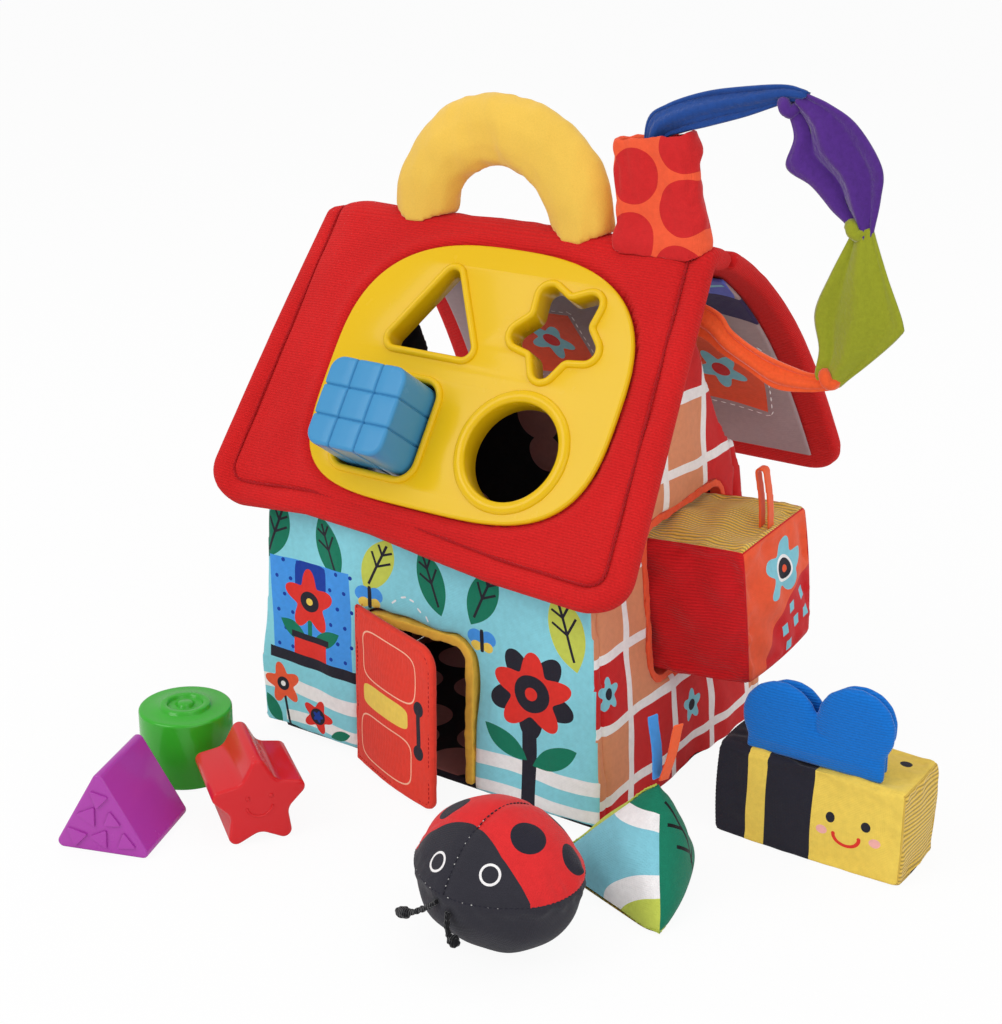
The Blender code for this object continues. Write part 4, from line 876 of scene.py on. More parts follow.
def buildPrism():
    # Six little triangles stand on each end
    side, length = prismValues["side"], prismValues["length"]
    look = plastic("purple prism plastic", "purple", 0.3)
    matrix = onFloor((*prismValues["at"], side / math.sqrt(3) / 2), prismValues["turn"])
    border = roundedOutline(regular(3, side / math.sqrt(3)), [prismValues["corner"]] * 3)
    pieces = [slab("prismBody", [grown(border, 0)], length, 0.0011, look, matrix)]
    for end in (-1, 1):
        for k, (x, y, reach) in enumerate(prismValues["marks"]):
            mark = grown(roundedOutline(regular(3, reach * 0.72, 0.7 * k + 0.3), [0.0005] * 3, 3), 0)
            lift = Matrix.Translation((side * x, side * y, end * (length / 2 + 0.00005)))
            pieces.append(slab("prismMark", [mark], prismValues["relief"], 0.0003, look, matrix @ lift, 3))
    dress(joined("purplePrism", pieces, look), "purple_prism", "purple_plastic", "purple_prism")


def buildStar():
    look = plastic("red star plastic", "red", 0.25)
    border = grown(starOutline(math.pi / 2), 0)
    matrix = onFloor((*starValues["at"], -min(point.y for point in border)), starValues["turn"])
    pieces = [slab("starBody", [border], starValues["length"], 0.0014, look, matrix, 5)]
    face = starValues["length"] / 2
    smile = [(0.0056 * math.sin(t), 0.0008 - 0.0058 * math.cos(t), face) for t in np.linspace(-1.3, 1.3, 18)]
    eyes = [[(x, 0.0036, face - 0.0004), (x, 0.0036, face + 0.0003)] for x in (-0.0048, 0.0048)]
    for line, radius in [(smile, starValues["smile"])] + [(eye, starValues["eye"]) for eye in eyes]:
        line = [matrix @ Vector(point) for point in line]
        pieces.append(tube("starRelief", line, radius, look, 12))
    dress(joined("redStar", pieces, look), "red_star", "red_plastic", "red_star")


buildPlate()
buildCube()
buildCylinder()
buildPrism()
buildStar()
print("plastic pieces ready")


# Cloth panels laid on a surface: a padded quilt from flat places and a surface to lay them on

def padGrid(bm, rows, columns, at):
    # The faces of two layers that share their border, each with its layer and the keys of its corners
    layers = []
    for side in (1, -1):
        layer = {}
        for row in range(rows):
            for column in range(columns):
                border = row in (0, rows - 1) or column in (0, columns - 1)
                shared = side < 0 and border
                layer[row, column] = layers[0][row, column] if shared else bm.verts.new(at(side, row, column))
        layers.append(layer)
    for number, layer in enumerate(layers):
        for row in range(rows - 1):
            for column in range(columns - 1):
                keys = [(row, column), (row, column + 1), (row + 1, column + 1), (row + 1, column)]
                if number:
                    keys.reverse()
                yield number, keys, bm.faces.new([layer[key] for key in keys])


def quilt(name, flatGrid, surface, depth, look):
    # Padding on a surface. flatGrid: rows of flat places. surface gives a middle place and its outward normal.
    # depth gives half the thickness above and below, from the distances to the border and the flat places
    flatGrid = np.asarray(flatGrid, float)
    border = np.vstack([flatGrid[0], flatGrid[1:, -1], flatGrid[-1, ::-1][1:], flatGrid[::-1, 0][1:-1]])
    flat = flatGrid.reshape(-1, 2)
    rows, columns = flatGrid.shape[:2]
    upper, lower = depth(distanceTo(flat, border), flat)

    def at(side, row, column):
        middle, out = surface(*flatGrid[row, column])
        half = (upper if side > 0 else lower)[row * columns + column]
        return Vector(middle) + Vector(out) * float(half) * side

    bm = bmesh.new()
    uv = bm.loops.layers.uv.new("cloth")
    for number, keys, face in padGrid(bm, rows, columns, at):
        face.material_index = number
        for loop, key in zip(face.loops, keys):
            loop[uv].uv = flatGrid[key]
    return fromBmesh(name, bm, look)


def inSpace(x, place, out):
    # A place and a normal in the Y-Z plane, at a distance across
    return (x, place.x, place.y), (0, out.x, out.y)


def laid(surface, flats, rise):
    # Places at a height over a surface
    found = []
    for flat in flats:
        middle, out = surface(*flat)
        found.append(Vector(middle) + Vector(out) * rise)
    return found


def edgeRound(away, radius):
    share = np.clip(1 - away / radius, 0, 1)
    return radius * np.sqrt(np.maximum(0, 1 - share**2))


def rimLines(count, rim, steps=5):
    # Grid lines from -1 to 1, close together at both ends
    near = [rim * (step / steps) ** 1.4 for step in range(steps + 1)]
    inner = np.linspace(-1 + rim, 1 - rim, count)[1:-1]
    return np.array([-1 + value for value in near] + list(inner) + [1 - value for value in reversed(near)])


def inwards(line, distance):
    # A flat line moved to its left
    tangent = np.gradient(line, axis=0)
    tangent /= np.linalg.norm(tangent, axis=1)[:, None]
    return line + np.stack([-tangent[:, 1], tangent[:, 0]], 1) * distance


# The roof: one padded fleece panel over the front slope and the crest, one on the lifted flap

roofValues = {
    "eaveDistance": 0.1452, "thickness": 0.009, "tail": 0.009, "backAngle": math.radians(14),
    "ridge": (0.1045, 0.0940), "eave": (0.1065, 0.1040), "corner": 0.018,
    "endSag": 0.005, "sagStart": 0.080, "cornerStart": 0.089, "lift": 0.007, "droop": 0.003,
    "waveX": [-0.100, -0.055, -0.020, 0.010, 0.045, 0.080, 0.104],
    "wave": [-0.0015, -0.0055, -0.0040, -0.0005, 0.0030, 0.0045, 0.0055], "waveStart": 0.45,
    "seam": 0.0098, "seamWide": 0.0013, "seamDepth": 0.0015, "puff": 0.0009,
}
slopeOut = Vector((-math.sin(house["slopeAngle"]), math.cos(house["slopeAngle"])))
slopeDown = Vector((-math.cos(house["slopeAngle"]), -math.sin(house["slopeAngle"])))
midDepth = roofValues["thickness"] / 2
crestMid = house["crestRadius"] - midDepth
slopeLength = roofValues["eaveDistance"] - house["crestRadius"] * math.tan(house["slopeAngle"] / 2) * 0.9
crestTurn = house["slopeAngle"] + roofValues["backAngle"]
roofLength = slopeLength + crestMid * crestTurn + roofValues["tail"]


def roofPath(travel):
    # Place and outward normal in the Y-Z plane, from the eave upwards
    eave = Vector(house["apex"][1:]) + roofValues["eaveDistance"] * slopeDown
    start = eave - slopeOut * midDepth
    if travel <= slopeLength:
        return start - slopeDown * travel, slopeOut
    start = start - slopeDown * slopeLength
    centre = start - slopeOut * crestMid
    turn = min((travel - slopeLength) / crestMid, crestTurn)
    out = slopeOut.copy()
    out.rotate(Matrix.Rotation(-turn, 2))
    tail = max(0, travel - slopeLength - crestMid * crestTurn)
    return centre + out * crestMid + Vector((out.y, -out.x)) * tail, out


def smoothRise(value, start, end):
    share = min(max((value - start) / (end - start), 0), 1)
    return share * share * (3 - 2 * share)


def cornerPull(unitX, unitY, halfX, halfY, radius):
    x, y = unitX * halfX, unitY * halfY
    overX = abs(x) - (halfX - radius)
    overY = abs(y) - (halfY - radius)
    if overX > 0 and overY > 0:
        shrink = max(overX, overY) / math.hypot(overX, overY)
        x = math.copysign(halfX - radius + overX * shrink, x)
        y = math.copysign(halfY - radius + overY * shrink, y)
    return x, y


def roofFlat(unitX, unitY):
    half = roofLength / 2
    side = 0 if unitX < 0 else 1
    ridge, eave = roofValues["ridge"][side], roofValues["eave"][side]
    if unitY < 0:
        x, along = cornerPull(unitX, unitY, ridge, half, roofValues["corner"])
    else:
        x, along = unitX * ridge, unitY * half
    travel = along + half
    down = 1 - min(travel / slopeLength, 1)
    x *= 1 + (eave / ridge - 1) * down
    wave = float(np.interp(x, roofValues["waveX"], roofValues["wave"]))
    travel -= wave * smoothRise(down, roofValues["waveStart"], 1)
    return x, travel


def roofSurface(x, travel):
    place, out = roofPath(travel)
    down = 1 - min(max(travel, 0) / slopeLength, 1)
    lift = (roofValues["lift"] * smoothRise(-x, roofValues["cornerStart"], roofValues["eave"][0])
            - roofValues["droop"] * smoothRise(x, roofValues["cornerStart"], roofValues["eave"][1])) * down
    sag = smoothRise(-x, roofValues["sagStart"], roofValues["ridge"][0]) * (1 - down) ** 2
    place = place + out * (lift - roofValues["endSag"] * sag)
    return inSpace(x, place, out)


def seamRing(flatGrid, distance):
    # The sewn line inside the border, down one side, along the end and up the other
    flatGrid = np.asarray(flatGrid, float)
    line = np.vstack([flatGrid[::-1, 0], flatGrid[0, 1:], flatGrid[1:, -1]])
    line = curveThrough(line[::3], 260)
    line = inwards(line, distance)
    for _ in range(6):
        line[1:-1] = (line[:-2] + line[1:-1] * 2 + line[2:]) / 4
    return line


def fleeceDepth(radius, seam, puff, seed):
    # Rounded at the border, sunk at the seam, crowned inside it and slack all over
    def depth(away, flat):
        upper = edgeRound(away, radius)
        fromSeam = distanceTo(flat, np.vstack([seam, seam[::-1]]))
        upper -= roofValues["seamDepth"] * np.exp(-(fromSeam / roofValues["seamWide"]) ** 2)
        inside = np.clip((away - roofValues["seam"]) / 0.02, 0, 1)
        upper += puff * np.sin(inside * math.pi / 2)
        upper += 0.00045 * flatRipple(flat, 0.045, seed) * np.clip(away / 0.006, 0, 1)
        band = np.clip(1 - np.abs(away - 0.005) / 0.005, 0, 1)
        upper += 0.00022 * flatRipple(flat, 0.011, seed + 1) * band
        return upper, edgeRound(away, radius)
    return depth


def fleeceCloth(name):
    made, tree, shader, place = startMaterial(name)
    knit = useGroup(tree, ribs, Place=place, Along=mapParts(tree)[1], Pitch=0.00115, Depth=0.10)
    fuzz = useGroup(tree, pile, Place=place, Fibre=1500.0, Depth=0.42)
    # The fleece's colour carries the painted shade of the rib grooves and of the fibres
    height = scaled(tree, knit["Height"], 0.55, fuzz["Height"])
    shade = times(tree, knit["Shade"], fuzz["Shade"])
    cover(tree, shader, linear("fleece"), shade, height, 0.6, 0.0007, Roughness=0.95, Sheen_Weight=0.12,
          Sheen_Roughness=0.5, Sheen_Tint=(1.0, 0.45, 0.42, 1), Specular_IOR_Level=0.12)
    return made


fleece = fleeceCloth("red fleece")
fleeceThread = cotton("red seam cord", "fleeceDeep", sheen=0.1)


def seamCord(name, surface, seam, half):
    line = laid(surface, seam, half - roofValues["seamDepth"] * 0.35)
    return twistedCord(name, line, 0.00062, fleeceThread, turnLength=0.0036)


def buildRoof():
    along = np.concatenate([rimLines(80, 0.07)[:-6], np.linspace(0.86, 1, 24)[1:]])
    flatGrid = [[roofFlat(x, y) for x in rimLines(104, 0.075)] for y in np.unique(np.round(along, 5))]
    seam = seamRing(flatGrid, roofValues["seam"])
    seam = seam[seam[:, 1] < roofLength - 0.004]
    shift = (0, roofValues["eaveDistance"])
    border = np.array(grown(plateBorder(160), 0)) + shift
    plain = fleeceDepth(midDepth, seam, roofValues["puff"], 11)

    def seated(away, flat):
        # The fleece dips under the plate's edge and stands a little proud round it
        upper, lower = plain(away, flat)
        gap = distanceTo(flat, border)
        reach = np.abs((flat - np.array(plateValues["centre"]) - shift) / np.array(plateValues["half"]))
        wave = 0.0011 * np.exp(-((gap - 0.004) / 0.0032) ** 2)
        upper = np.where((reach**2.9).sum(1) < 1, np.minimum(upper, midDepth - 0.0006), upper + wave)
        edge = np.clip(1 - gap / 0.0022, 0, 1)
        return upper * (1 - edge) + np.minimum(upper, midDepth - 0.0002) * edge, lower

    panel = quilt("frontRoof", flatGrid, roofSurface, seated, [fleece, fleece])
    hole = slab("roofHole", [grown(plateBorder(160), -0.0012)], 0.04, 0.0001, fleece, slopeFrame)
    cut = panel.modifiers.new("Plate hole", "BOOLEAN")
    cut.object = hole
    cut.solver = "EXACT"
    settle(panel)
    bpy.data.objects.remove(hole, do_unlink=True)
    cord = seamCord("roofSeam", roofSurface, seam, midDepth)
    dress(joined("frontRoof", [panel, cord]), "house", "red_fleece", "roof_front_panel")


flapValues = {
    "length": 0.1555, "start": math.radians(24.5), "bend": math.radians(36), "thickness": 0.0075,
    "ridge": 0.0960, "eave": 0.1065, "clearance": 0.0004, "lining": 0.0016, "inset": 0.013, "gap": 0.0003,
}
flapHeel = flapValues["thickness"] / 2
flapHinge = roofPath(roofLength + flapHeel + flapValues["clearance"])[0]


def flapAngle(share):
    return flapValues["start"] + flapValues["bend"] * (1 - (1 - share) ** 2)


def flapPath(travel):
    steps = 24
    place = flapHinge.copy()
    for step in range(steps):
        angle = flapAngle(travel / flapValues["length"] * (step + 0.5) / steps)
        place += Vector((math.cos(angle), -math.sin(angle))) * travel / steps
    angle = flapAngle(travel / flapValues["length"])
    return place, Vector((math.sin(angle), math.cos(angle)))


def flapHalf(travel):
    return flapValues["ridge"] + (flapValues["eave"] - flapValues["ridge"]) * travel / flapValues["length"]


def flapFlat(unitX, unitY):
    half = flapValues["length"] / 2
    along = -unitY * half
    x = unitX * flapValues["ridge"]
    if along > 0:
        x, along = cornerPull(unitX, -unitY, flapValues["ridge"], half, roofValues["corner"])
    travel = (along + half) * (1 + flapHeel / flapValues["length"]) - flapHeel
    return x * flapHalf(travel) / flapValues["ridge"], travel


def flapSurface(x, travel):
    return inSpace(x, *flapPath(travel))


def buildFlap():
    flatGrid = [[flapFlat(x, -y) for x in rimLines(88, 0.085)] for y in rimLines(72, 0.085)]
    seam = seamRing([row[::-1] for row in flatGrid[::-1]], roofValues["seam"])
    seam = seam[seam[:, 1] > 0.004]
    depth = fleeceDepth(flapHeel, seam, 0.0006, 23)

    def tucked(away, flat):
        # The lining's side stays flat where the lining lies on it
        upper, lower = depth(away, flat)
        return upper, np.minimum(lower, flapHeel - 0.0001)

    panel = quilt("rearRoof", flatGrid, flapSurface, tucked, [fleece, fleece])
    cord = seamCord("flapSeam", flapSurface, seam, flapHeel)
    dress(joined("rearRoof", [panel, cord]), "roof_flap", "red_fleece", "roof_flap_panel")


liningArt = [
    ("pad", (0, 16), (84, 26), 0, "periwinkle"),
    ("bar", (58, 16), (17, 1.0), 24, "paleBlue"), ("bar", (70, 22), (13, 1.0), -18, "paleBlue"),
    ("round", (66, 44), (30, 17), 6, "night"), ("round", (60, 58), (30, 13), 4, "lining"),
    ("round", (-34, 44), (30, 17), -6, "night"), ("round", (-30, 58), (30, 13), -4, "lining"),
    ("bar", (58, 92), (21, 22), 6, "orange"), ("petal", (58, 92), (13, 13), 20, "paleBlue"),
    ("round", (58, 92), (4.6, 4.6), 0, "check"),
    ("bar", (-34, 94), (21, 22), -6, "orange"), ("petal", (-34, 94), (13, 13), 10, "paleBlue"),
    ("round", (-34, 94), (4.6, 4.6), 0, "check"),
    ("round", (12, 118), (7, 7), 0, "grey"), ("round", (34, 136), (9, 6), 0, "grey"),
]


whiteThread = cotton("white thread", "white")


def buildLining():
    half, thick, inset = flapValues["length"] / 2, flapValues["lining"], flapValues["inset"]

    def surface(x, travel):
        place, out = flapPath(travel)
        return inSpace(x, place - out * (flapHeel + flapValues["gap"] * 2 + thick / 2), out)

    def slack(flat):
        return 0.0006 + 0.0007 * flatRipple(flat, 0.050, 31)

    def depth(away, flat):
        edge = edgeRound(away, thick / 2)
        return edge, edge + slack(flat) * np.clip(away / 0.012, 0, 1)

    flatGrid = []
    for y in rimLines(60, 0.03, 3):
        travel = half + y * (half - inset)
        flatGrid.append([(x * (flapHalf(travel) - inset), travel) for x in rimLines(66, 0.03, 3)])
    look = mapCotton("printed flap lining", "lining", liningArt)
    pieces = [quilt("flapLining", flatGrid, surface, depth, [look, look])]
    for x, y, turn in ((0.058, 0.092, 6), (-0.034, 0.094, -6)):
        # White stitches round each square of the print
        cosine, sine = math.cos(math.radians(turn)), math.sin(math.radians(turn))
        square = [(x + u * cosine - v * sine, y + u * sine + v * cosine)
                  for u, v in ((-0.0232, -0.0242), (0.0232, -0.0242), (0.0232, 0.0242), (-0.0232, 0.0242))]
        line = []
        for start, end in zip(square, square[1:] + square[:1]):
            for share in np.linspace(0, 1, 14, endpoint=False):
                flat = np.array(start) * (1 - share) + np.array(end) * share
                line += laid(surface, [flat], -thick / 2 - float(slack([flat])[0]))
        pieces.append(stitchLine("liningStitches", line, whiteThread, 0.0046, 0.0030, 0.0006, closed=True))
    dress(joined("flapLining", pieces), "roof_flap", "lining_cotton", "roof_flap_lining")


def softNode(name, node, voxel, look, smoothing, waves, rise=0.0, count=8):
    # A CAD node as cloth: its skin moved out by rise and by waves of (height, length, seed)
    piece = solidCopy(name, node, voxel, look, smoothing)
    found = places(piece)
    amount = np.full(len(found), rise, float)
    for height, length, seed in waves:
        amount += height * ripple(found, length, seed, count)
    push(piece, amount)
    return piece


def buildPatches():
    look = pileCloth("hook and loop", "grey", Fibre=2600.0, Depth=0.6, bump=0.9, distance=0.0006, sheen=0.1)
    for name, body, node in (("flapPatch", "roof_flap", "closure_patch_flap"),
                             ("wallPatch", "house", "closure_patch_wall")):
        patch = softNode(name, node, 0.0005, look, 2, [(0.00010, 0.0016, 41)], count=10)
        dress(patch, body, "patch_fabric", node)


buildRoof()
buildFlap()
buildLining()
buildPatches()
print("roof ready")


# Walls, floor, bindings and the door

def buildCheck(tree, into):
    # Hand-drawn check: coloured cells between white lines, with a small flower in some of them
    flat = add(tree, "ShaderNodeCombineXYZ", {0: into["Across"], 1: into["Up"]}).outputs[0]
    wobble = separate(tree, noise(tree, flat, 17.0, 1.0, part=1))
    cells, parts, lines = [], [], []
    for k, (way, pitch) in enumerate((("Across", 0.0345), ("Up", 0.0305))):
        unit = maths(tree, "DIVIDE", scaled(tree, wobble[k], 0.0070, into[way]), pitch)
        cells.append(maths(tree, "FLOOR", unit))
        parts.append(maths(tree, "FRACT", unit))
        lines.append(maths(tree, "LESS_THAN", parts[k], 0.0044 / pitch))

    def chance(level):
        cell = add(tree, "ShaderNodeCombineXYZ", {0: cells[0], 1: cells[1], 2: level}).outputs[0]
        return add(tree, "ShaderNodeTexWhiteNoise", {"Vector": cell}, noise_dimensions="3D").outputs["Value"]

    ramp = add(tree, "ShaderNodeValToRGB", {0: chance(3.7)})
    stops = ramp.color_ramp
    stops.interpolation = "CONSTANT"
    for k, (at, name) in enumerate(((0.0, "check"), (0.64, "salmon"), (0.82, "orange"), (0.94, "sun"))):
        stop = stops.elements[k] if k < 2 else stops.elements.new(at)
        stop.position = at
        stop.color = linear(name)
    chosen = maths(tree, "GREATER_THAN", chance(9.1), 0.74)
    bloom = shapeMask(tree, parts, "petal", (0.56, 0.56), (0.22, 0.25), 18)
    heart = shapeMask(tree, parts, "round", (0.56, 0.56), (0.07, 0.08), 0)
    base = mixed(tree, times(tree, chosen, bloom), ramp.outputs[0], linear("paleBlue"))
    base = mixed(tree, times(tree, chosen, heart), base, linear("ink"))
    return [mixed(tree, maths(tree, "MAXIMUM", *lines), base, linear("white"))]


check = makeGroup("check print", {"Across": 0, "Up": 0}, {"Colour": "NodeSocketColor"}, buildCheck)


def checkCotton(name, across, shift):
    def colour(tree, place):
        split = separate(tree, place)
        at = [maths(tree, "ADD", split[axis], move) for axis, move in zip((across, 2), shift)]
        return useGroup(tree, check, Across=at[0], Up=at[1])[0]

    return cloth(name, colour, weave, sheen=0.12)


def insidePrint(tree, place):
    cells = add(tree, "ShaderNodeTexVoronoi", {"Vector": place, "Scale": 31.0, "Randomness": 0.55})
    disc = maths(tree, "LESS_THAN", cells.outputs["Distance"], 0.40)
    return mixed(tree, disc, linear("black"), linear("brown"))


def leafArt(x, z, turn, colour, size=15.0):
    a = math.radians(turn)
    found = [("leaf", (x, z), (size, size * 0.47), turn, colour),
             ("bar", (x, z), (size * 0.74, 0.6), turn, "ink")]
    for share, side in ((-0.05, 1), (-0.05, -1), (0.38, 1), (0.38, -1)):
        long = size * (0.24 if share < 0.2 else 0.17)
        way = a + side * 0.75
        centre = (x + math.cos(a) * size * share + math.cos(way) * long,
                  z + math.sin(a) * size * share + math.sin(way) * long)
        found.append(("bar", centre, (long, 0.55), math.degrees(way), "ink"))
    return found


def butterflyArt(x, z):
    found = []
    for side in (-1, 1):
        found += [("round", (x + 3.4 * side, z + 1.6), (3.7, 3.2), -30 * side, "pane"),
                  ("round", (x + 2.8 * side, z - 2.6), (2.6, 2.3), 0, "sun")]
    return found + [("pad", (x, z), (0.9, 5.2), 0, "ink")]


frontArt = [
    ("wave", (57, 20.5), (34, 3.3), 2, "white"), ("wave", (58, 7.6), (34, 2.8), 2, "white"),
    ("wave", (-60, 23.5), (34, 3.4), 0, "white"), ("wave", (-52, 9), (26, 2.8), 0, "white"),
    *leafArt(-80, 98, 68, "leaf"), *leafArt(-50, 96, 112, "leaf"), *leafArt(-24, 94, 62, "lime"),
    *leafArt(4, 93, 114, "leaf"), *leafArt(31, 93, 66, "leaf"), *leafArt(71, 87, 108, "lime", 17),
    ("bar", (-61, 63), (22.5, 23.5), 1, "pane"), ("pad", (-61, 79), (9, 7.5), 0, "paneDeep"),
    *[("round", (-80 + 7.6 * k + (3.8 if row % 2 else 0), 44 + 8.2 * row), (0.95, 0.95), 0, "paneDeep")
      for row in range(6) for k in range(6) if not (row < 5 and 1 < k < 4)],
    ("bar", (-62, 50), (1.2, 14), 0, "leaf"), ("petal", (-62, 68), (15.5, 14), 90, "poppy"),
    ("round", (-62, 68), (5.2, 4.8), 0, "ink"), ("round", (-62, 68), (1.8, 1.7), 0, "sun"),
    ("leaf", (-71, 52), (9, 3.6), 150, "leaf"), ("leaf", (-53, 52), (9, 3.6), 30, "leaf"),
    ("bar", (-62, 45), (9.5, 6), 0, "poppy"), ("bar", (-62, 50.5), (11, 1.5), 0, "ink"),
    ("bar", (-61, 38.5), (24.5, 2.7), -1.5, "ink"),
    ("bar", (-77, 10), (0.7, 9), 8, "ink"), ("leaf", (-85, 10), (8, 3.6), 120, "leaf"),
    ("petal", (-79, 24), (10.5, 10.5), 30, "orange"), ("round", (-79, 24), (3.3, 3.3), 0, "ink"),
    ("round", (-79, 24), (1.3, 1.3), 0, "white"),
    ("petal", (-59, 13), (8.8, 8.4), 0, "poppy"), ("round", (-59, 13), (4.2, 4.0), 0, "ink"),
    ("petal", (-59, 13), (3.0, 3.0), 0, "paneDeep"), ("leaf", (-46, 7), (6, 2.4), 20, "leaf"),
    *butterflyArt(-29, 78), *butterflyArt(30, 73),
    *[("pad", (-16 + 4.6 * k, 79 + 3.2 * math.sin(k * 1.1)), (1.3, 0.4), 40 - 24 * k, "white")
      for k in range(5)],
    ("bar", (54, 20), (3.3, 20), 0, "ink"),
    ("leaf", (42.5, 31), (12, 4.8), 150, "leaf"), ("leaf", (66, 29), (12, 4.8), 30, "leaf"),
    ("petal", (55, 56), (21.5, 20.5), 54, "ink"), ("petal", (55, 56), (19.5, 18.5), 18, "poppy"),
    ("round", (55, 56), (8.6, 8.2), 0, "ink"), ("round", (55, 56), (2.9, 2.9), 0, "poppy"),
]


wallValues = {"voxel": 0.0016, "backVoxel": 0.0017, "slack": 0.0009, "slackLength": 0.048, "foot": 0.0006,
              "frontFoot": 0.0022, "footRise": 0.010, "slopeStart": 0.0838, "slope": 0.075,
              "rearRim": 0.0017, "frontRim": -0.0012}


def wallCloth(name, node, looks, seed, voxel=wallValues["voxel"], foot=wallValues["foot"]):
    # Slack cloth, drawn down over the edge of the floor
    slack, length = wallValues["slack"], wallValues["slackLength"]
    waves = [(slack, length, seed), (slack * 0.35, 0.017, seed + 1)]
    piece = softNode(name, node, voxel, looks, 2, waves)
    found = places(piece)
    low = found[:, 2].min()
    found[:, 2] -= (low - foot) * np.clip(1 - (found[:, 2] - low) / wallValues["footRise"], 0, 1)
    return piece, found


def lowBulge(found):
    # The slack lower left corner at the front
    return 0.0042 * np.exp(-((found[:, 2] - 0.036) / 0.024) ** 2)


def rearBulge(found):
    return 0.0014 * np.exp(-((found[:, 2] - 0.055) / 0.05) ** 2)


def atCorner(centre):
    return np.abs(centre[:, 0]) > wallValues["slopeStart"] - centre[:, 2] * wallValues["slope"]


def cutSides(centre, found):
    # The cut sides of a wall show the side print
    return np.where((found == 1) & atCorner(centre), 2, found)


def buildFrontWall(looks):
    wall, found = wallCloth("frontWall", "front_wall", looks, 51, foot=wallValues["frontFoot"])
    bulge = lowBulge(found) * np.clip((-found[:, 0] - 0.060) / 0.030, 0, 1) ** 1.5
    found[:, 0] -= bulge
    found[:, 1] -= bulge * 0.35
    place(wall, found)

    def choose(centre, facing):
        found = np.where(facing[:, 1] < 0.4, 0, 1)
        found = np.where((np.abs(facing[:, 0]) > 0.6) & (np.abs(centre[:, 0]) > 0.08), 2, found)
        found = cutSides(centre, found)
        return np.where((facing[:, 2] < -0.6) & (centre[:, 2] < 0.02), 3, found)

    faceLooks(wall, choose)
    dress(wall, "house", "sky_cotton", "front_wall")


def buildSideWall(name, node, side, looks):
    wall, found = wallCloth(name, node, looks, 57 + side)
    place(wall, found)
    found[:, 0] += side * rearBulge(found) * np.clip((found[:, 1] - 0.02) / 0.04, 0, 1)
    start, stop = found[:, 1].min(), found[:, 1].max()
    facing = np.array([vert.normal.y for vert in wall.data.vertices])
    rim = np.clip((np.abs(facing) - 0.3) / 0.4, 0, 1) * (np.abs(found[:, 1] - (start + stop) / 2) > 0.046)
    if side < 0:
        near = np.clip((start + 0.024 - found[:, 1]) / 0.024, 0, 1) ** 1.5
        found[:, 0] -= 0.9 * lowBulge(found) * near
        found[:, 1] -= 0.35 * lowBulge(found) * near
    found[:, 1] += np.where(facing > 0, wallValues["rearRim"], wallValues["frontRim"]) * rim
    place(wall, found)
    faceLooks(wall, lambda centre, facing: np.where(facing[:, 0] * side < -0.5, 1, 0))
    dress(wall, "house", "check_cotton", node)


def buildBackWall(looks):
    wall, found = wallCloth("backWall", "back_wall", looks, 63, wallValues["backVoxel"])
    aside = np.clip((np.abs(found[:, 0]) - 0.055) / 0.025, 0, 1)
    found[:, 0] += np.sign(found[:, 0]) * rearBulge(found) * aside
    place(wall, found)

    def choose(centre, facing):
        found = np.where(facing[:, 1] > 0.4, 0, 1)
        return cutSides(centre, np.where(np.abs(facing[:, 0]) > 0.6, 2, found))

    faceLooks(wall, choose)
    dress(wall, "house", "check_cotton", "back_wall")


def buildFloor(looks):
    floor = solidCopy("floorPad", "floor_panel", 0.0018, looks, 2)
    found = places(floor)
    middle = (found.min(axis=0) + found.max(axis=0)) / 2
    found[:, :2] = middle[:2] + (found[:, :2] - middle[:2]) * (0.950, 0.940)
    place(floor, found)
    faceLooks(floor, lambda centre, facing: np.where(facing[:, 2] > 0.6, 1, 0))
    dress(floor, "house", "navy_cotton", "floor_panel")


def buildWalls():
    side = checkCotton("check side cotton", 1, (0.0098, 0.0147))
    inside = cloth("dark dotted inside", insidePrint, weave, bump=0.3, roughness=0.9, sheen=0.1)
    base = cotton("navy base cotton", "ink")
    buildFrontWall([cotton("printed front cotton", "sky", frontArt), inside, side, base])
    buildSideWall("rightWall", "right_gable_wall", 1, [side, inside])
    buildSideWall("leftWall", "left_gable_wall", -1, [side, inside])
    buildBackWall([checkCotton("check back cotton", 0, (0.004, 0.0147)), inside, side])
    buildFloor([base, inside])


def buildBindings():
    for node, name, colour, shade, rise in (
            ("door_surround", "doorBinding", "mustard", "mustard", -0.0004),
            ("block_port_binding", "blockPortBinding", "orange", "orange", -0.0009),
            ("pyramid_port_binding", "pyramidPortBinding", "red", "check", 0)):
        waves = [(0.00018, 0.010, 71), (0.00010, 0.0035, 72)]
        piece = softNode(name, node, 0.0009, cotton(colour + " binding", shade), 5, waves, rise)
        if node == "block_port_binding":
            found = places(piece)
            low, high = found.min(axis=0)[1:], found.max(axis=0)[1:]
            found[:, 1:] += (found[:, 1:] - (low + high) / 2) * 0.0016 / ((high - low) / 2)
            place(piece, found)
        dress(piece, "house", colour + "_cotton", node)


doorValues = {"hinge": (-0.0335, -0.0740), "open": math.radians(20), "width": 0.060, "low": 0.0015,
              "height": 0.0735, "half": 0.0017, "radii": (0.010, 0.005), "stitch": 0.0024, "bow": 0.0022}
doorArt = [
    ("pad", (28, 56.5), (20.5, 11.5), 0, "peach"), ("pad", (28, 56.5), (19.9, 10.9), 0, "doorRed"),
    ("pad", (26.5, 18), (20, 11), 0, "peach"), ("pad", (26.5, 18), (19.4, 10.4), 0, "doorRed"),
    ("pad", (26, 37.8), (17.5, 5.2), 0, "sun"),
    ("round", (51, 46), (3.3, 3.3), 0, "ink"), ("round", (51, 26), (3.3, 3.3), 0, "ink"),
    ("bar", (51, 36), (1.35, 9), 0, "ink"),
]


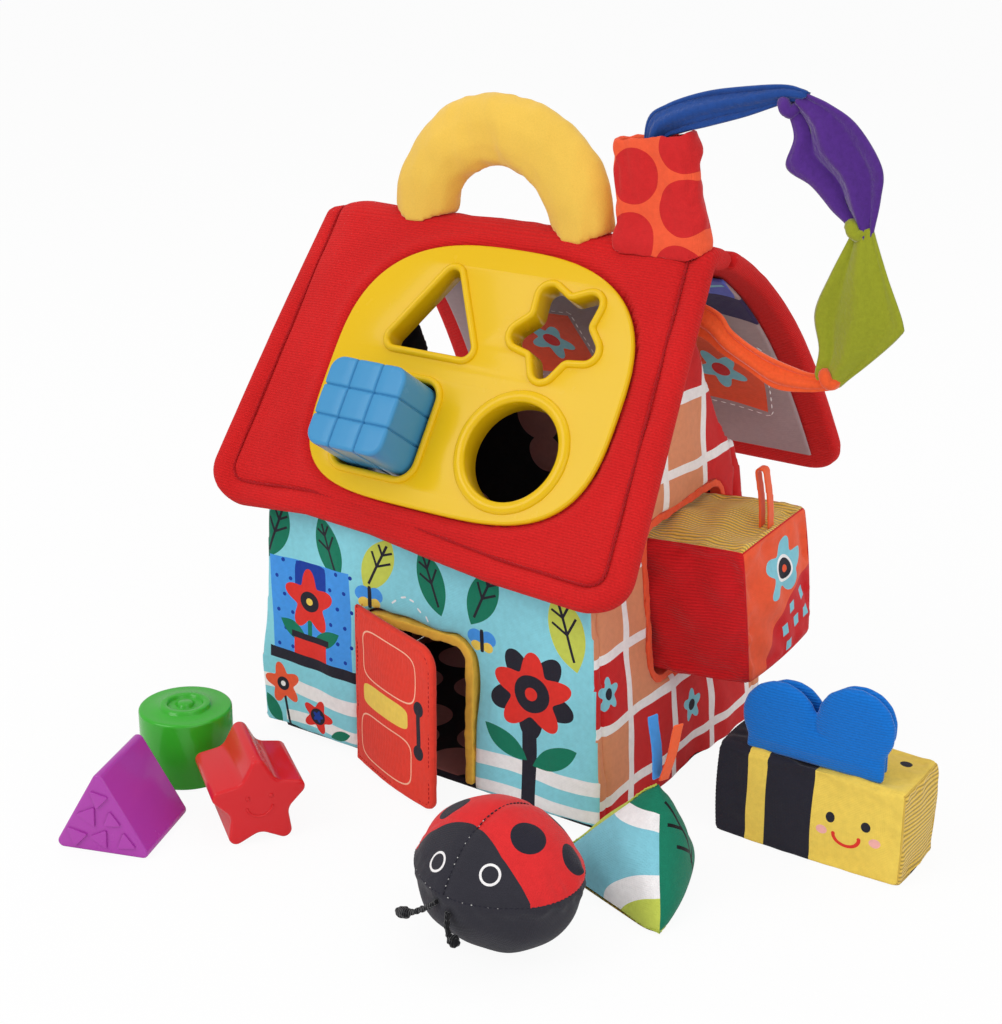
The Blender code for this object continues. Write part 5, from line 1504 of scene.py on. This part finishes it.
def buildDoor():
    turn = Matrix.Translation((*doorValues["hinge"], 0)) @ Matrix.Rotation(-doorValues["open"], 4, "Z")
    wide, high, low = doorValues["width"], doorValues["height"], doorValues["low"]
    out = tuple(turn.to_3x3() @ Vector((0, -1, 0)))

    def surface(u, v):
        bow = math.sin(math.pi * min(max(u / wide, 0), 1)) * (0.6 + 0.4 * math.cos(v * 40))
        return tuple(turn @ Vector((u, -doorValues["bow"] * bow, v))), out

    flatGrid = []
    for b in rimLines(52, 0.07, 4):
        row = []
        for a in rimLines(44, 0.07, 4):
            x, y = a * wide / 2, b * high / 2
            if a > 0:
                x, y = cornerPull(a, b, wide / 2, high / 2, doorValues["radii"][0 if b > 0 else 1])
            row.append((x + wide / 2, y + high / 2 + low))
        flatGrid.append(row)

    def depth(away, flat):
        half = edgeRound(away, doorValues["half"])
        half -= 0.00035 * np.exp(-((away - doorValues["stitch"]) / 0.0006) ** 2)
        half += 0.0003 * flatRipple(flat, 0.030, 81) * np.clip(away / 0.004, 0, 1)
        half += 0.00012 * flatRipple(flat, 0.006, 82) * np.exp(-((away - 0.002) / 0.002) ** 2)
        return half, half

    looks = [mapCotton("printed door cotton", "doorRed", doorArt), cotton("plain door cotton", "doorRed")]
    pieces = [quilt("doorFlap", flatGrid, surface, depth, looks)]
    outline = [row[0] for row in flatGrid[::-1]] + flatGrid[0][1:] + [row[-1] for row in flatGrid[1:]]
    line = inwards(curveThrough(outline[::2], 200), doorValues["stitch"])
    for side in (1, -1):
        path = laid(surface, line, side * (doorValues["half"] - 0.0003))
        pieces.append(stitchLine("doorStitches", path, fleeceThread, 0.0021, 0.0015, 0.00045))
    dress(joined("doorFlap", pieces), "door", "door_cotton", "door_flap")


buildWalls()
buildBindings()
buildDoor()
print("walls and door ready")


# Handle, chimney and kerchiefs

def buildHandle():
    look = pileCloth("yellow velvet", "plush", Fibre=1700.0, Depth=0.22, bump=0.45, distance=0.0006, sheen=0.3)
    waves = [(0.00055, 0.026, 91), (0.00025, 0.010, 92)]
    handle = softNode("carryHandle", "handle", 0.0015, look, 14, waves, 0.0009)
    dress(handle, "handle", "yellow_plush", "handle")


chimneyArt = [("round", (x, z), (10.9, 11.2), 0, "check")
              for x, z in ((58.5, 258), (58.5, 232.5), (81.5, 247.5), (80.5, 272), (80.5, 222))]


def buildChimney():
    look = cotton("dotted chimney cotton", "orange", chimneyArt)
    chimney = solidCopy("chimneySleeve", "chimney", 0.0008, look, 3)
    found = places(chimney)
    edge = np.exp(-((np.abs(found[:, 0] - 0.069) - 0.019) / 0.004) ** 2)
    amount = 0.00065 * ripple(found, 0.017, 95) + 0.00035 * ripple(found, 0.007, 96) * (0.3 + edge)
    push(chimney, amount)
    found = places(chimney)
    rise = (found[:, 2] - found[:, 2].min()) / np.ptp(found[:, 2])
    found[:, 0] -= 0.0052 * rise * np.clip((found[:, 0] - 0.056) / 0.030, 0, 1)
    buckle = 0.0016 * np.exp(-(((rise - 0.32) / 0.16) ** 2))
    found[:, 0] += buckle * np.clip((found[:, 0] - 0.06) / 0.025, 0, 1)
    place(chimney, found)
    dress(chimney, "house", "chimney_cotton", "chimney")


kerchiefValues = {
    # stations: (one edge, other edge) as (x, z). folds: (across at the start, at the end, width, height).
    # cloth: name, colour, fibre, shade depth (the fibres' painted shade and sheen), bump, distance and sheen
    "scarf_blue": {
        "name": "blueKerchief", "slot": "blue_plush",
        "cloth": ("blue velour", "royal", 480.0, 0.55, 0.7, 0.0009, 0.35),
        "knot": None, "half": 0.0010,
        "folds": [(0.42, 0.60, 0.13, -0.0024), (0.86, 0.80, 0.09, 0.0012), (0.12, 0.22, 0.08, 0.0012)],
        "stations": [((0.0700, 0.2560), (0.0600, 0.2560)), ((0.0690, 0.2715), (0.0602, 0.2785)),
                     ((0.0765, 0.2757), (0.0686, 0.2861)), ((0.0881, 0.2792), (0.0851, 0.2921)),
                     ((0.1037, 0.2842), (0.1030, 0.2955)), ((0.1177, 0.2897), (0.1194, 0.2971)),
                     ((0.1262, 0.2918), (0.1290, 0.2948))]},
    "scarf_purple": {
        "name": "purpleKerchief", "slot": "purple_plush",
        "cloth": ("purple velour", "violet", 480.0, 0.55, 0.7, 0.0009, 0.5),
        "knot": (0.1203, 0.2889), "half": 0.0009,
        "folds": [(0.52, 0.60, 0.075, -0.0030), (0.30, 0.40, 0.07, 0.0022), (0.76, 0.84, 0.09, 0.0018),
                  (0.12, 0.20, 0.07, -0.0016)],
        "stations": [((0.1192, 0.2892), (0.1272, 0.2946)), ((0.1231, 0.2779), (0.1369, 0.2912)),
                     ((0.1209, 0.2667), (0.1480, 0.2844)), ((0.1312, 0.2606), (0.1590, 0.2702)),
                     ((0.1399, 0.2525), (0.1595, 0.2585)), ((0.1465, 0.2479), (0.1573, 0.2448)),
                     ((0.1500, 0.2425), (0.1562, 0.2420))]},
    "scarf_green": {
        "name": "greenKerchief", "slot": "green_satin",
        "cloth": ("green satin plush", "moss", 620.0, 0.4, 0.5, 0.0007, 0.6),
        "knot": (0.1505, 0.2461), "half": 0.0008,
        "folds": [(0.46, 0.62, 0.14, -0.0028), (0.20, 0.30, 0.09, 0.0016), (0.85, 0.88, 0.08, 0.0010)],
        "stations": [((0.1502, 0.2478), (0.1567, 0.2478)), ((0.1417, 0.2282), (0.1647, 0.2291)),
                     ((0.1361, 0.2124), (0.1722, 0.2133)), ((0.1390, 0.1985), (0.1712, 0.2080)),
                     ((0.1383, 0.1880), (0.1595, 0.1953)), ((0.1425, 0.1846), (0.1478, 0.1842))]},
    "scarf_orange": {
        "name": "orangeKerchief", "slot": "orange_satin",
        "cloth": ("orange satin plush", "tangerine", 620.0, 0.4, 0.5, 0.0007, 0.5),
        "knot": (0.1443, 0.1874), "half": 0.0010,
        "folds": [(0.40, 0.55, 0.12, -0.0022), (0.82, 0.88, 0.08, 0.0014)],
        "stations": [((0.1460, 0.1832), (0.1452, 0.1892)), ((0.1363, 0.1809), (0.1400, 0.1886)),
                     ((0.1222, 0.1799), (0.1324, 0.1889)), ((0.1096, 0.1853), (0.1161, 0.1934)),
                     ((0.0976, 0.1906), (0.1017, 0.2005)), ((0.0896, 0.1955), (0.0937, 0.2076)),
                     ((0.0690, 0.2020), (0.0700, 0.2130))]},
}


def kerchiefGrid(values, seed, rows, columns):
    # The middle of the gathered cloth: its two edges, and folds that run along it
    first, second = [curveThrough([station[k] for station in values["stations"]], rows) for k in (0, 1)]
    middle = np.zeros((rows, columns, 3))
    for row in range(rows):
        share = row / (rows - 1)
        opened = math.sin(math.pi * min(max(share, 0.08), 0.92))
        for column in range(columns):
            unit = column / (columns - 1)
            at = first[row] * (1 - unit) + second[row] * unit
            wave = 0.0
            for begin, finish, width, height in values["folds"]:
                crest = begin + (finish - begin) * share + 0.04 * math.sin(5 * share + seed)
                gap = (unit - crest) / width
                wave += height * math.exp(-gap * gap) * (0.35 + 0.65 * opened)
            wave += 0.0005 * math.sin(9 * share + 4 * unit + seed) * opened
            middle[row, column] = (at[0], wave + scarfDepth(at[0]), at[1])
    return middle


def scarfDepth(x):
    return -0.0030 + 0.02 * (x - 0.0650)


def buildKnot(values, look):
    x, z = values["knot"]
    loops = []
    for k, tilt in enumerate((0.5, -0.7)):
        circle = []
        for turn in np.linspace(0, math.tau, 28, endpoint=False):
            at = Vector((0.0026 * math.cos(turn), 0.0022 * math.sin(turn), 0.0009 * math.sin(2 * turn + k)))
            at.rotate(Matrix.Rotation(tilt + k * 1.2, 3, "Y"))
            circle.append(Vector((x, scarfDepth(x), z)) + at)
        loops.append(tube(f"knotLoop{k}", circle, 0.0024, look, 12, closed=True))
    knot = joined(values["name"] + "Knot", loops, look)
    dress(knot, "scarf_chain", values["slot"])
    return knot


def buildKerchiefs():
    rows, columns = 64, 36
    sheets = []
    for seed, (node, values) in enumerate(kerchiefValues.items()):
        title, colour, fibre, depth, bump, distance, sheen = values["cloth"]
        look = pileCloth(title, colour, Fibre=fibre, Depth=depth, bump=bump, distance=distance, sheen=sheen)
        middle = kerchiefGrid(values, seed, rows, columns)
        normal = np.cross(np.gradient(middle, axis=1), np.gradient(middle, axis=0))
        cells = np.linalg.norm(normal, axis=2)
        area = float(cells[:-1, :-1].sum())
        width, length = [np.linalg.norm(np.diff(middle, axis=k), axis=2).sum(k).max() for k in (1, 0)]
        flat = (round(width, 4), round(length, 4))
        print("kerchief", values["name"], "area", round(area, 6), "width", flat[0], "length", flat[1])
        out = normal / cells[:, :, None]

        def at(side, row, column):
            rim = min(column, columns - 1 - column, row, rows - 1 - row)
            half = values["half"] * min(1, 0.0 if rim == 0 else 0.55 + 0.15 * rim)
            hem = 0.0002 if rim in (1, 2) else 0
            return middle[row, column] + out[row, column] * side * (half + hem)

        bm = bmesh.new()
        list(padGrid(bm, rows, columns, at))
        cloth = fromBmesh(values["name"], bm, look)
        dress(cloth, "scarf_chain", values["slot"], node)
        knots = [buildKnot(values, look)] if values["knot"] else []
        sheets.append((cloth, flat, min(area, flat[0] * flat[1]), knots))
    for k, (cloth, flat, area, knots) in enumerate(sheets):
        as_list(knots)


buildHandle()
buildChimney()
buildKerchiefs()
print("handle, chimney and kerchiefs ready")


# Stuffed pieces: the block in the wall, the bee, the ladybird and the pyramid

def stuffedBlock(name, values, matrix, looks, seed):
    # looks go on the faces -X, +X, -Y, +Y, -Z, +Z. The cloth's map is each face's own place
    size, crown, pinch, edge, wrinkle = [values[key] for key in ("size", "crown", "pinch", "edge", "wrinkle")]
    bm = bmesh.new()
    uv = bm.loops.layers.uv.new("cloth")
    half = [value / 2 for value in size]
    for axis, side, faces in unitBlock(bm, rimLines(34, 0.22, 6)):
        first, second = [k for k in range(3) if k != axis]
        for face in faces:
            face.material_index = axis * 2 + (side > 0)
            for loop in face.loops:
                at = loop.vert.co
                loop[uv].uv = (at[first] * half[first], at[second] * half[second])
    bmesh.ops.remove_doubles(bm, verts=bm.verts, dist=1e-5)

    def formed(unit):
        fall = [1 - min(1, abs(unit[k])) ** 2 for k in range(3)]
        full = Vector([unit[k] * half[k] for k in range(3)])
        inner = Vector([max(-(half[k] - edge), min(half[k] - edge, full[k])) for k in range(3)])
        normal = (full - inner).normalized()
        at = inner + normal * edge
        for k in range(3):
            over, under = fall[k - 1], fall[k - 2]
            swell = crown * over * under - pinch * (over + under) / 2
            at[k] += math.copysign(swell * abs(unit[k]) ** 3, unit[k])
        return at, normal

    verts = list(bm.verts)
    units = [vert.co.copy() for vert in verts]
    made = [formed(unit) for unit in units]
    found = np.array([tuple(at) for at, normal in made])
    near = np.array([sorted([1 - abs(value) for value in unit])[1] for unit in units])
    held = 1 - np.exp(-((near / 0.07) ** 2))
    creases = wrinkle * ripple(found, 0.021, seed) * held
    creases += wrinkle * 0.8 * ripple(found, 0.0075, seed + 1) * np.exp(-((near / 0.22) ** 2)) * held
    for vert, (at, normal), amount in zip(verts, made, creases):
        vert.co = matrix @ (at + normal * float(amount))
        vert.co.z = max(vert.co.z, floorGap)
    piece = fromBmesh(name, bm, looks)
    edges = []
    for axis in range(3):
        for first in (-1, 1):
            for second in (-1, 1):
                line = []
                for value in np.linspace(-1, 1, 30):
                    unit = [0, 0, 0]
                    unit[axis], unit[(axis + 1) % 3], unit[(axis + 2) % 3] = value, first, second
                    at, normal = formed(unit)
                    line.append(matrix @ (at - normal * 0.00015))
                edges.append(line)
    return piece, edges


blockValues = {"size": (0.058, 0.058, 0.058), "crown": 0.0040, "pinch": 0.0017, "edge": 0.0026,
               "wrinkle": 0.00095, "seam": 0.00042, "roll": math.radians(3)}
blockArt = [
    ("round", (33, -34), (50, 38), 12, "blockRed"),
    *[("bar", (x, z), (2.0, 2.4), 10, "paleBlue")
      for x, z in ((9, -9), (20, -7), (3, -17), (14, -17), (7, -25), (22, -16))],
    ("petal", (2, 11), (17.5, 12.5), 8, "paleBlue"), ("round", (2, 11), (6.0, 5.6), 0, "white"),
    ("round", (2, 11), (4.7, 4.3), 0, "ink"), ("round", (2, 11), (1.6, 1.6), 0, "orange"),
]


def buildBlock():
    low, high = [Vector(corner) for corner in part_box("wall_block")]
    matrix = (Matrix.Translation((low + high) / 2) @ Matrix.Rotation(-house["rightLean"], 4, "Y")
              @ Matrix.Rotation(blockValues["roll"], 4, "X"))
    red = mapCord("red ribbed cloth", "blockRed", 0.00125, 0.22, bump=0.5, distance=0.0004)
    looks = [red, mapCotton("block face print", "orange", blockArt), red, red, red,
             mapCord("mustard corduroy", "corduroy", 0.0019, 0.75)]
    block, edges = stuffedBlock("wallBlock", blockValues, matrix, looks, 101)
    thread = cotton("block seam thread", "blockRed")
    sewn = [tube("blockSeam", line, blockValues["seam"], thread) for line in edges]
    block = joined("wallBlock", [block, joined("blockSeams", sewn, thread)])
    dress(block, "wall_block", "block_cotton", "wall_block")


def satin(name, colour):
    return cloth(name, colour, weave, Pitch=0.00035, bump=0.15, distance=0.0002, roughness=0.45, sheen=0.2)


def buildRibbons():
    orange, blue = satin("orange satin ribbon", "tangerine"), satin("blue satin ribbon", "ribbonBlue")
    for node, name, body, slot, look in (
            ("wall_block_loop", "blockLoop", "wall_block", "orange_ribbon", orange),
            ("pyramid_blue_ribbon", "pyramidBlueRibbon", "pyramid", "blue_ribbon", blue),
            ("pyramid_orange_ribbon", "pyramidOrangeRibbon", "pyramid", "orange_ribbon", orange)):
        ribbon = solidCopy(name, node, 0.00032, look, 3)
        found = places(ribbon)
        low = found[:, 2].min()
        rise = (found[:, 2] - low) / max(found[:, 2].max() - low, 1e-6)
        if body == "pyramid":
            found += (0.0042, 0.0021, -0.0008)
        found[:, 0] += 0.0006 * np.sin(rise * 5.0) * rise
        found[:, 1] += 0.0005 * np.sin(rise * 4.0 + 1) * rise
        place(ribbon, found)
        dress(ribbon, body, slot, node)


beeValues = {"at": (0.1632, -0.0195, 0.01975), "turn": math.radians(0.5), "size": (0.080, 0.035, 0.0405),
             "crown": 0.0030, "pinch": 0.0015, "edge": 0.0024, "wrinkle": 0.0006}
stripeArt = [("bar", (-60, 0), (34, 60), 0, "ink"), ("bar", (-7.5, 0), (10, 60), 0, "ink")]
beeFaceArt = stripeArt + [
    ("round", (17.5, -3.9), (6.0, 5.4), 0, "poppy"), ("round", (17.5, -3.9), (4.5, 3.9), 0, "beeYellow"),
    ("bar", (17.5, -0.8), (7.0, 3.0), 0, "beeYellow"), ("round", (12.3, -3.8), (0.8, 0.8), 0, "poppy"),
    ("round", (22.7, -3.8), (0.8, 0.8), 0, "poppy"),
    ("round", (10.6, 2.6), (1.9, 2.2), 0, "ink"), ("round", (25.2, 2.6), (1.9, 2.2), 0, "ink"),
    ("round", (7.4, -3.6), (2.3, 1.9), 0, "blush"), ("round", (29.0, -3.6), (2.3, 1.9), 0, "blush"),
]


wingValues = {"centres": ((-0.0155, 0.0150), (0.0160, 0.0205)), "lobe": 0.0162, "foot": 0.0290,
              "fall": 0.0085, "puff": 0.0021, "thin": 0.0009}


def puffed(found, side, scale):
    # Fills each wing's outer face like a small pillow, flat at its rim and at its foot
    low, high = found.min(axis=0), found.max(axis=0)
    middle = (low + high) / 2
    x = (found[:, 0] - middle[0]) / scale + 0.00025
    z = (found[:, 2] - low[2]) / scale
    stem = np.clip((0.015 - z) / 0.008, 0, 1) * (wingValues["foot"] - np.abs(x))
    lobes = [wingValues["lobe"] - np.hypot(x - centre[0], z - centre[1]) for centre in wingValues["centres"]]
    inset = np.clip(np.max([stem] + lobes, axis=0) / wingValues["fall"], 0, 1)
    pillow = np.sqrt(1 - (1 - inset) ** 2)
    foot = np.clip(z / 0.006, 0, 1) ** 2
    outward = np.clip((found[:, 1] - middle[1]) * side / (high[1] - middle[1]), 0, 1)
    move = np.zeros_like(found)
    move[:, 1] = side * outward * foot * (wingValues["puff"] * pillow - wingValues["thin"])
    move[:, 1] += 0.0004 * ripple(found, 0.030, 131) * foot
    if side > 0:
        move[:, 2] = 0.0011 * outward * np.clip(1 - z / 0.005, 0, 1)
    return move


def buildBee():
    matrix = Matrix.Translation(beeValues["at"]) @ Matrix.Rotation(beeValues["turn"], 4, "Z")
    looks = [mapCord("black corduroy", "ink", 0.0016, 0.5), mapCord("bee corduroy", "corduroy", 0.00185, 0.7),
             mapCotton("bee face print", "beeYellow", beeFaceArt),
             mapCotton("bee stripes", "beeYellow", stripeArt), cotton("navy underside", "navy"),
             mapCotton("bee top print", "beeYellow", stripeArt + [("round", (30, 7), (2.4, 2.4), 0, "ink")])]
    body, edges = stuffedBlock("beeBody", beeValues, matrix, looks, 121)
    thread, dark = cotton("bee seam thread", "corduroy"), cotton("dark seam thread", "ink")
    sewn = []
    for line in edges:
        ends = [(matrix.inverted() @ point).x for point in (line[0], line[-1])]
        if max(ends) < -0.03:
            sewn.append(stitchLine("beeOverlock", line, dark, 0.0017, 0.0022, 0.0007))
        elif min(ends) > 0.03:
            sewn.append(tube("beeSeam", line, 0.0005, thread))
    body = joined("beeBody", [body] + sewn)
    found = places(body)
    found[:, 2] = np.maximum(found[:, 2], floorGap)
    place(body, found)
    dress(body, "bee", "bee_cotton", "bee_body")
    for node, name, riding, side, scale in (("bee_front_wings", "frontWings", "front_wings", -1, 1),
                                            ("bee_rear_wings", "rearWings", "rear_wings", 1, 0.92)):
        look = cordCloth("wing corduroy " + name, "wing", 2, Pitch=0.0011, Depth=0.16, bump=0.5,
                         distance=0.0003)
        wings = softNode(name, node, 0.0007, look, 24, [], 0.0003)
        found = places(wings)
        place(wings, found + puffed(found, side, scale))
        dress(wings, riding, "wing_cord", node)


ladyValues = {"at": (0.0940, -0.1520, 0.02625), "turn": math.radians(-8), "size": (0.0655, 0.0550, 0.0545),
              "point": 0.0020, "seam": 0.0042, "face": -0.0112}
ladySpots = [(0.0165, -0.0032, 0.0222, 0.0066), (-0.0185, -0.0036, 0.0205, 0.0066),
             (0.0265, 0.0100, 0.0120, 0.0062), (-0.0265, 0.0100, 0.0120, 0.0062),
             (0.0100, 0.0190, 0.0160, 0.0058), (-0.0120, 0.0190, 0.0160, 0.0058)]
ladyEyes = [(-0.0078, -0.0247, 0.0125, 0.0040, 0.0031), (0.0142, -0.0207, 0.0143, 0.0040, 0.0031)]


def ballMask(tree, place, spot, radius):
    gap = add(tree, "ShaderNodeVectorMath", {0: place, 1: spot}, operation="DISTANCE").outputs["Value"]
    return maths(tree, "LESS_THAN", gap, radius)


def ladyPrint(tree, place):
    inverse = (Matrix.Translation(ladyValues["at"]) @ Matrix.Rotation(ladyValues["turn"], 4, "Z")).inverted()
    moved = {"Vector": place, "Location": inverse.translation, "Rotation": (0, 0, -ladyValues["turn"])}
    local = add(tree, "ShaderNodeMapping", moved, vector_type="POINT").outputs[0]
    parts = separate(tree, local)
    base = linear("lady")
    for x, y, z, radius in ladySpots:
        base = mixed(tree, ballMask(tree, local, (x, y, z), radius), base, linear("ink"))
    aside = maths(tree, "MINIMUM", size(tree, maths(tree, "ADD", parts[0], 0.0015)), 0.016)
    edge = scaled(tree, aside, -0.24, ladyValues["face"])
    base = mixed(tree, maths(tree, "LESS_THAN", parts[1], edge), base, linear("coal"))
    base = mixed(tree, maths(tree, "LESS_THAN", parts[2], ladyValues["seam"]), base, linear("coal"))
    for x, y, z, outer, inner in ladyEyes:
        base = mixed(tree, ballMask(tree, local, (x, y, z), outer), base, linear("white"))
        base = mixed(tree, ballMask(tree, local, (x, y, z), inner), base, linear("coal"))
    return base


def buildLadybird():
    matrix = Matrix.Translation(ladyValues["at"]) @ Matrix.Rotation(ladyValues["turn"], 4, "Z")
    half = [value / 2 for value in ladyValues["size"]]
    seam = ladyValues["seam"]

    def formed(unit):
        at = Vector((unit[0] * half[0], unit[1] * half[1], unit[2] * half[2]))
        at.y += ladyValues["point"] * unit[1] ** 6 * math.copysign(1, unit[1])
        rim = math.exp(-((at.z - seam) / 0.0042) ** 2)
        flat = Vector((unit[0], unit[1], 0))
        at += flat * 0.0011 * rim * (0.4 + 0.6 * flat.length)
        if at.z > seam:
            meridian = math.exp(-(at.x / 0.0022) ** 2)
            at -= Vector(unit).normalized() * 0.0007 * meridian
            at -= Vector(unit).normalized() * 0.0005 * math.exp(-((at.y - ladyValues["face"]) / 0.0016) ** 2)
        return at

    bm = bmesh.new()
    bmesh.ops.create_icosphere(bm, subdivisions=6, radius=1)
    verts = list(bm.verts)
    found = np.array([tuple(formed(vert.co)) for vert in verts])
    rise = found[:, 2] - seam
    creases = 0.0004 * ripple(found, 0.020, 141)
    creases += 0.00035 * ripple(found, 0.007, 142) * np.exp(-((rise / 0.006) ** 2))
    creases *= 1 - np.exp(-((rise / 0.0014) ** 2))
    for vert, at, amount in zip(verts, found, creases):
        vert.co = matrix @ (Vector(at) * (1 + float(amount) / 0.029))
        vert.co.z = max(vert.co.z, floorGap)
    look = cloth("ladybird cotton", ladyPrint, weave, bump=0.4, roughness=0.86)
    body = fromBmesh("ladybirdBody", bm, look)
    thread, pale = cotton("ladybird thread", "ink"), cotton("ladybird pale thread", "grey")
    lines = {"Meridian": [], "Equator": []}
    for turn in np.linspace(0, math.pi, 90):
        unit = Vector((0, -math.cos(turn), math.sin(turn)))
        at = formed(unit)
        if at.z >= seam:
            lines["Meridian"].append(matrix @ (at + unit * 0.0002))
    rise = seam / half[2]
    for turn in np.linspace(0, math.tau, 160, endpoint=False):
        flat = math.sqrt(1 - rise**2)
        unit = Vector((flat * math.cos(turn), flat * math.sin(turn), rise))
        lines["Equator"].append(matrix @ (formed(unit) - unit * 0.0001))
    sewn = [stitchLine("ladyMeridian", lines["Meridian"], thread, 0.0020, 0.0016, 0.0006),
            stitchLine("ladyEquator", lines["Equator"], thread, 0.0019, 0.0016, 0.0006, closed=True),
            stitchLine("ladyNoseStitches", lines["Meridian"][:34], pale, 0.0026, 0.0008, 0.00045),
            stitchLine("ladySeamStitches", lines["Equator"][100:140], pale, 0.0031, 0.0009, 0.00045)]
    dress(joined("ladybirdBody", [body] + sewn), "ladybird", "ladybird_cotton", "ladybird_body")
    cord = cordCloth("black braided cord", "black", 0, Pitch=0.0009, Depth=0.6, bump=0.8, distance=0.0005)
    for node, name in (("ladybird_left_antenna", "leftFeeler"), ("ladybird_right_antenna", "rightFeeler")):
        feeler = softNode(name, node, 0.0003, cord, 2, [(0.00022, 0.0024, 145)], count=10)
        dress(feeler, "ladybird", "black_cord", node)


pyramidValues = {"at": (0.1164, -0.0946), "turn": math.radians(-20.2), "side": 0.0645, "height": 0.048,
                 "lean": (0.0096, 0.0040), "crown": 0.0075, "count": 40,
                 "shift": ((-0.0017, -0.0028), (0.001, 0.002), (0.0052, 0.0024))}
pyramidLift = Vector((0, 0, 0.012))
pyramidFront = [
    ("round", (-2, 62), (40, 30), 0, "white"), ("round", (-2, 64), (35, 25), 0, "leaf"),
    ("round", (33, -8), (34, 30), 25, "white"), ("round", (35, -10), (28, 24), 25, "lime"),
    ("round", (-34, 16), (9, 22), 0, "sun"),
]
pyramidSide = [
    ("bar", (2, 24), (0.7, 17), 4, "black"), ("bar", (-2.5, 22), (5, 0.7), 140, "black"),
    ("bar", (5.5, 17), (5, 0.7), 40, "black"), ("bar", (-1.5, 31), (4, 0.7), 140, "black"),
]


def pyramidCorners(centre):
    # The three feet and the top
    radius = pyramidValues["side"] / math.sqrt(3)
    found = []
    for k, shift in enumerate(pyramidValues["shift"]):
        turn = math.pi / 2 + math.tau * k / 3 + pyramidValues["turn"]
        foot = Vector((radius * math.cos(turn), radius * math.sin(turn), floorGap))
        found.append(centre + foot + Vector((*shift, 0)))
    return found + [centre + Vector((*pyramidValues["lean"], pyramidValues["height"]))]


def pyramidFace(bm, corners, centre, look, blunt):
    # One cushioned side, as a triangle of small triangles; the base, the last look, stays flat
    a, b, c = corners
    count, uv = pyramidValues["count"], bm.loops.layers.uv.active
    across = (b - a).normalized()
    normal = (b - a).cross(c - a).normalized()
    rise = normal.cross(across)
    grid = {}
    for i in range(count + 1):
        for j in range(count + 1 - i):
            wa, wb, wc = (count - i - j) / count, i / count, j / count
            at = a * wa + b * wb + c * wc
            flat = ((at - (a + b) / 2).dot(across), (at - a).dot(rise))
            spot = blunt(at)
            if look < 3:
                least, middle = sorted((wa, wb, wc))[:2]
                tuck = 0.0012 * math.exp(-(least / 0.02) ** 2) * min(1, middle * 3)
                spot += normal * (27 * wa * wb * wc) ** 0.75 * pyramidValues["crown"]
                spot += (centre + pyramidLift - at).normalized() * tuck
                wave = 0.00045 * float(ripple(np.array([tuple(at)]), 0.018, 151)[0])
                spot += normal * wave * min(1, least * 12)
            grid[i, j] = (bm.verts.new(spot), flat)
    for i in range(count):
        for j in range(count - i):
            trios = [[(i, j), (i + 1, j), (i, j + 1)]]
            if j < count - i - 1:
                trios.append([(i + 1, j), (i + 1, j + 1), (i, j + 1)])
            for keys in trios:
                trio = [grid[key] for key in keys]
                face = bm.faces.new([vert for vert, flat in trio])
                face.material_index = look
                for loop, (vert, flat) in zip(face.loops, trio):
                    loop[uv].uv = flat


def buildPyramid():
    centre = Vector((*pyramidValues["at"], 0))
    *base, top = pyramidCorners(centre)
    heart = (base[0] + base[1] + base[2] + top) / 4

    def blunt(at):
        for corner in (*base, top):
            near = math.exp(-(((at - corner).length / 0.0065) ** 2))
            at = at + (heart - corner).normalized() * 0.0026 * near
        return at

    bm = bmesh.new()
    bm.loops.layers.uv.new("cloth")
    for look, corners in enumerate(((base[1], base[2], top), (base[2], base[0], top), (base[0], base[1], top),
                                    (base[0], base[2], base[1]))):
        pyramidFace(bm, corners, centre, look, blunt)
    bmesh.ops.remove_doubles(bm, verts=bm.verts, dist=2.5e-4)
    looks = [mapCotton("pyramid hill print", "paleBlue", pyramidFront),
             mapCotton("pyramid leaf print", "leaf", pyramidSide), mapCotton("pyramid lime side", "lime", []),
             mapCord("pyramid corduroy base", "corduroy", 0.0019, 0.6)]
    for vert in bm.verts:
        vert.co.z = max(vert.co.z, floorGap)
    pieces = [fromBmesh("pyramidBody", bm, looks)]
    thread = cotton("pyramid seam cord", "lime")
    for start, end in ((base[1], top), (base[1], base[2]), (base[2], base[0]), (base[0], base[1])):
        line = []
        for share in np.linspace(0.02, 0.98, 40):
            at = start.lerp(end, float(share))
            inward = (centre + pyramidLift - at).normalized()
            tuck = inward * 0.0011 * min(1, 3 * min(share, 1 - share))
            line.append(blunt(at) + tuck + Vector((0, 0, 0.0005)))
        pieces.append(twistedCord("pyramidSeam", line, 0.00055, thread, turnLength=0.0024))
    dress(joined("pyramidBody", pieces), "pyramid", "pyramid_cotton", "pyramid_body")


buildBlock()
buildBee()
buildLadybird()
buildPyramid()
buildRibbons()
print("stuffed pieces ready")
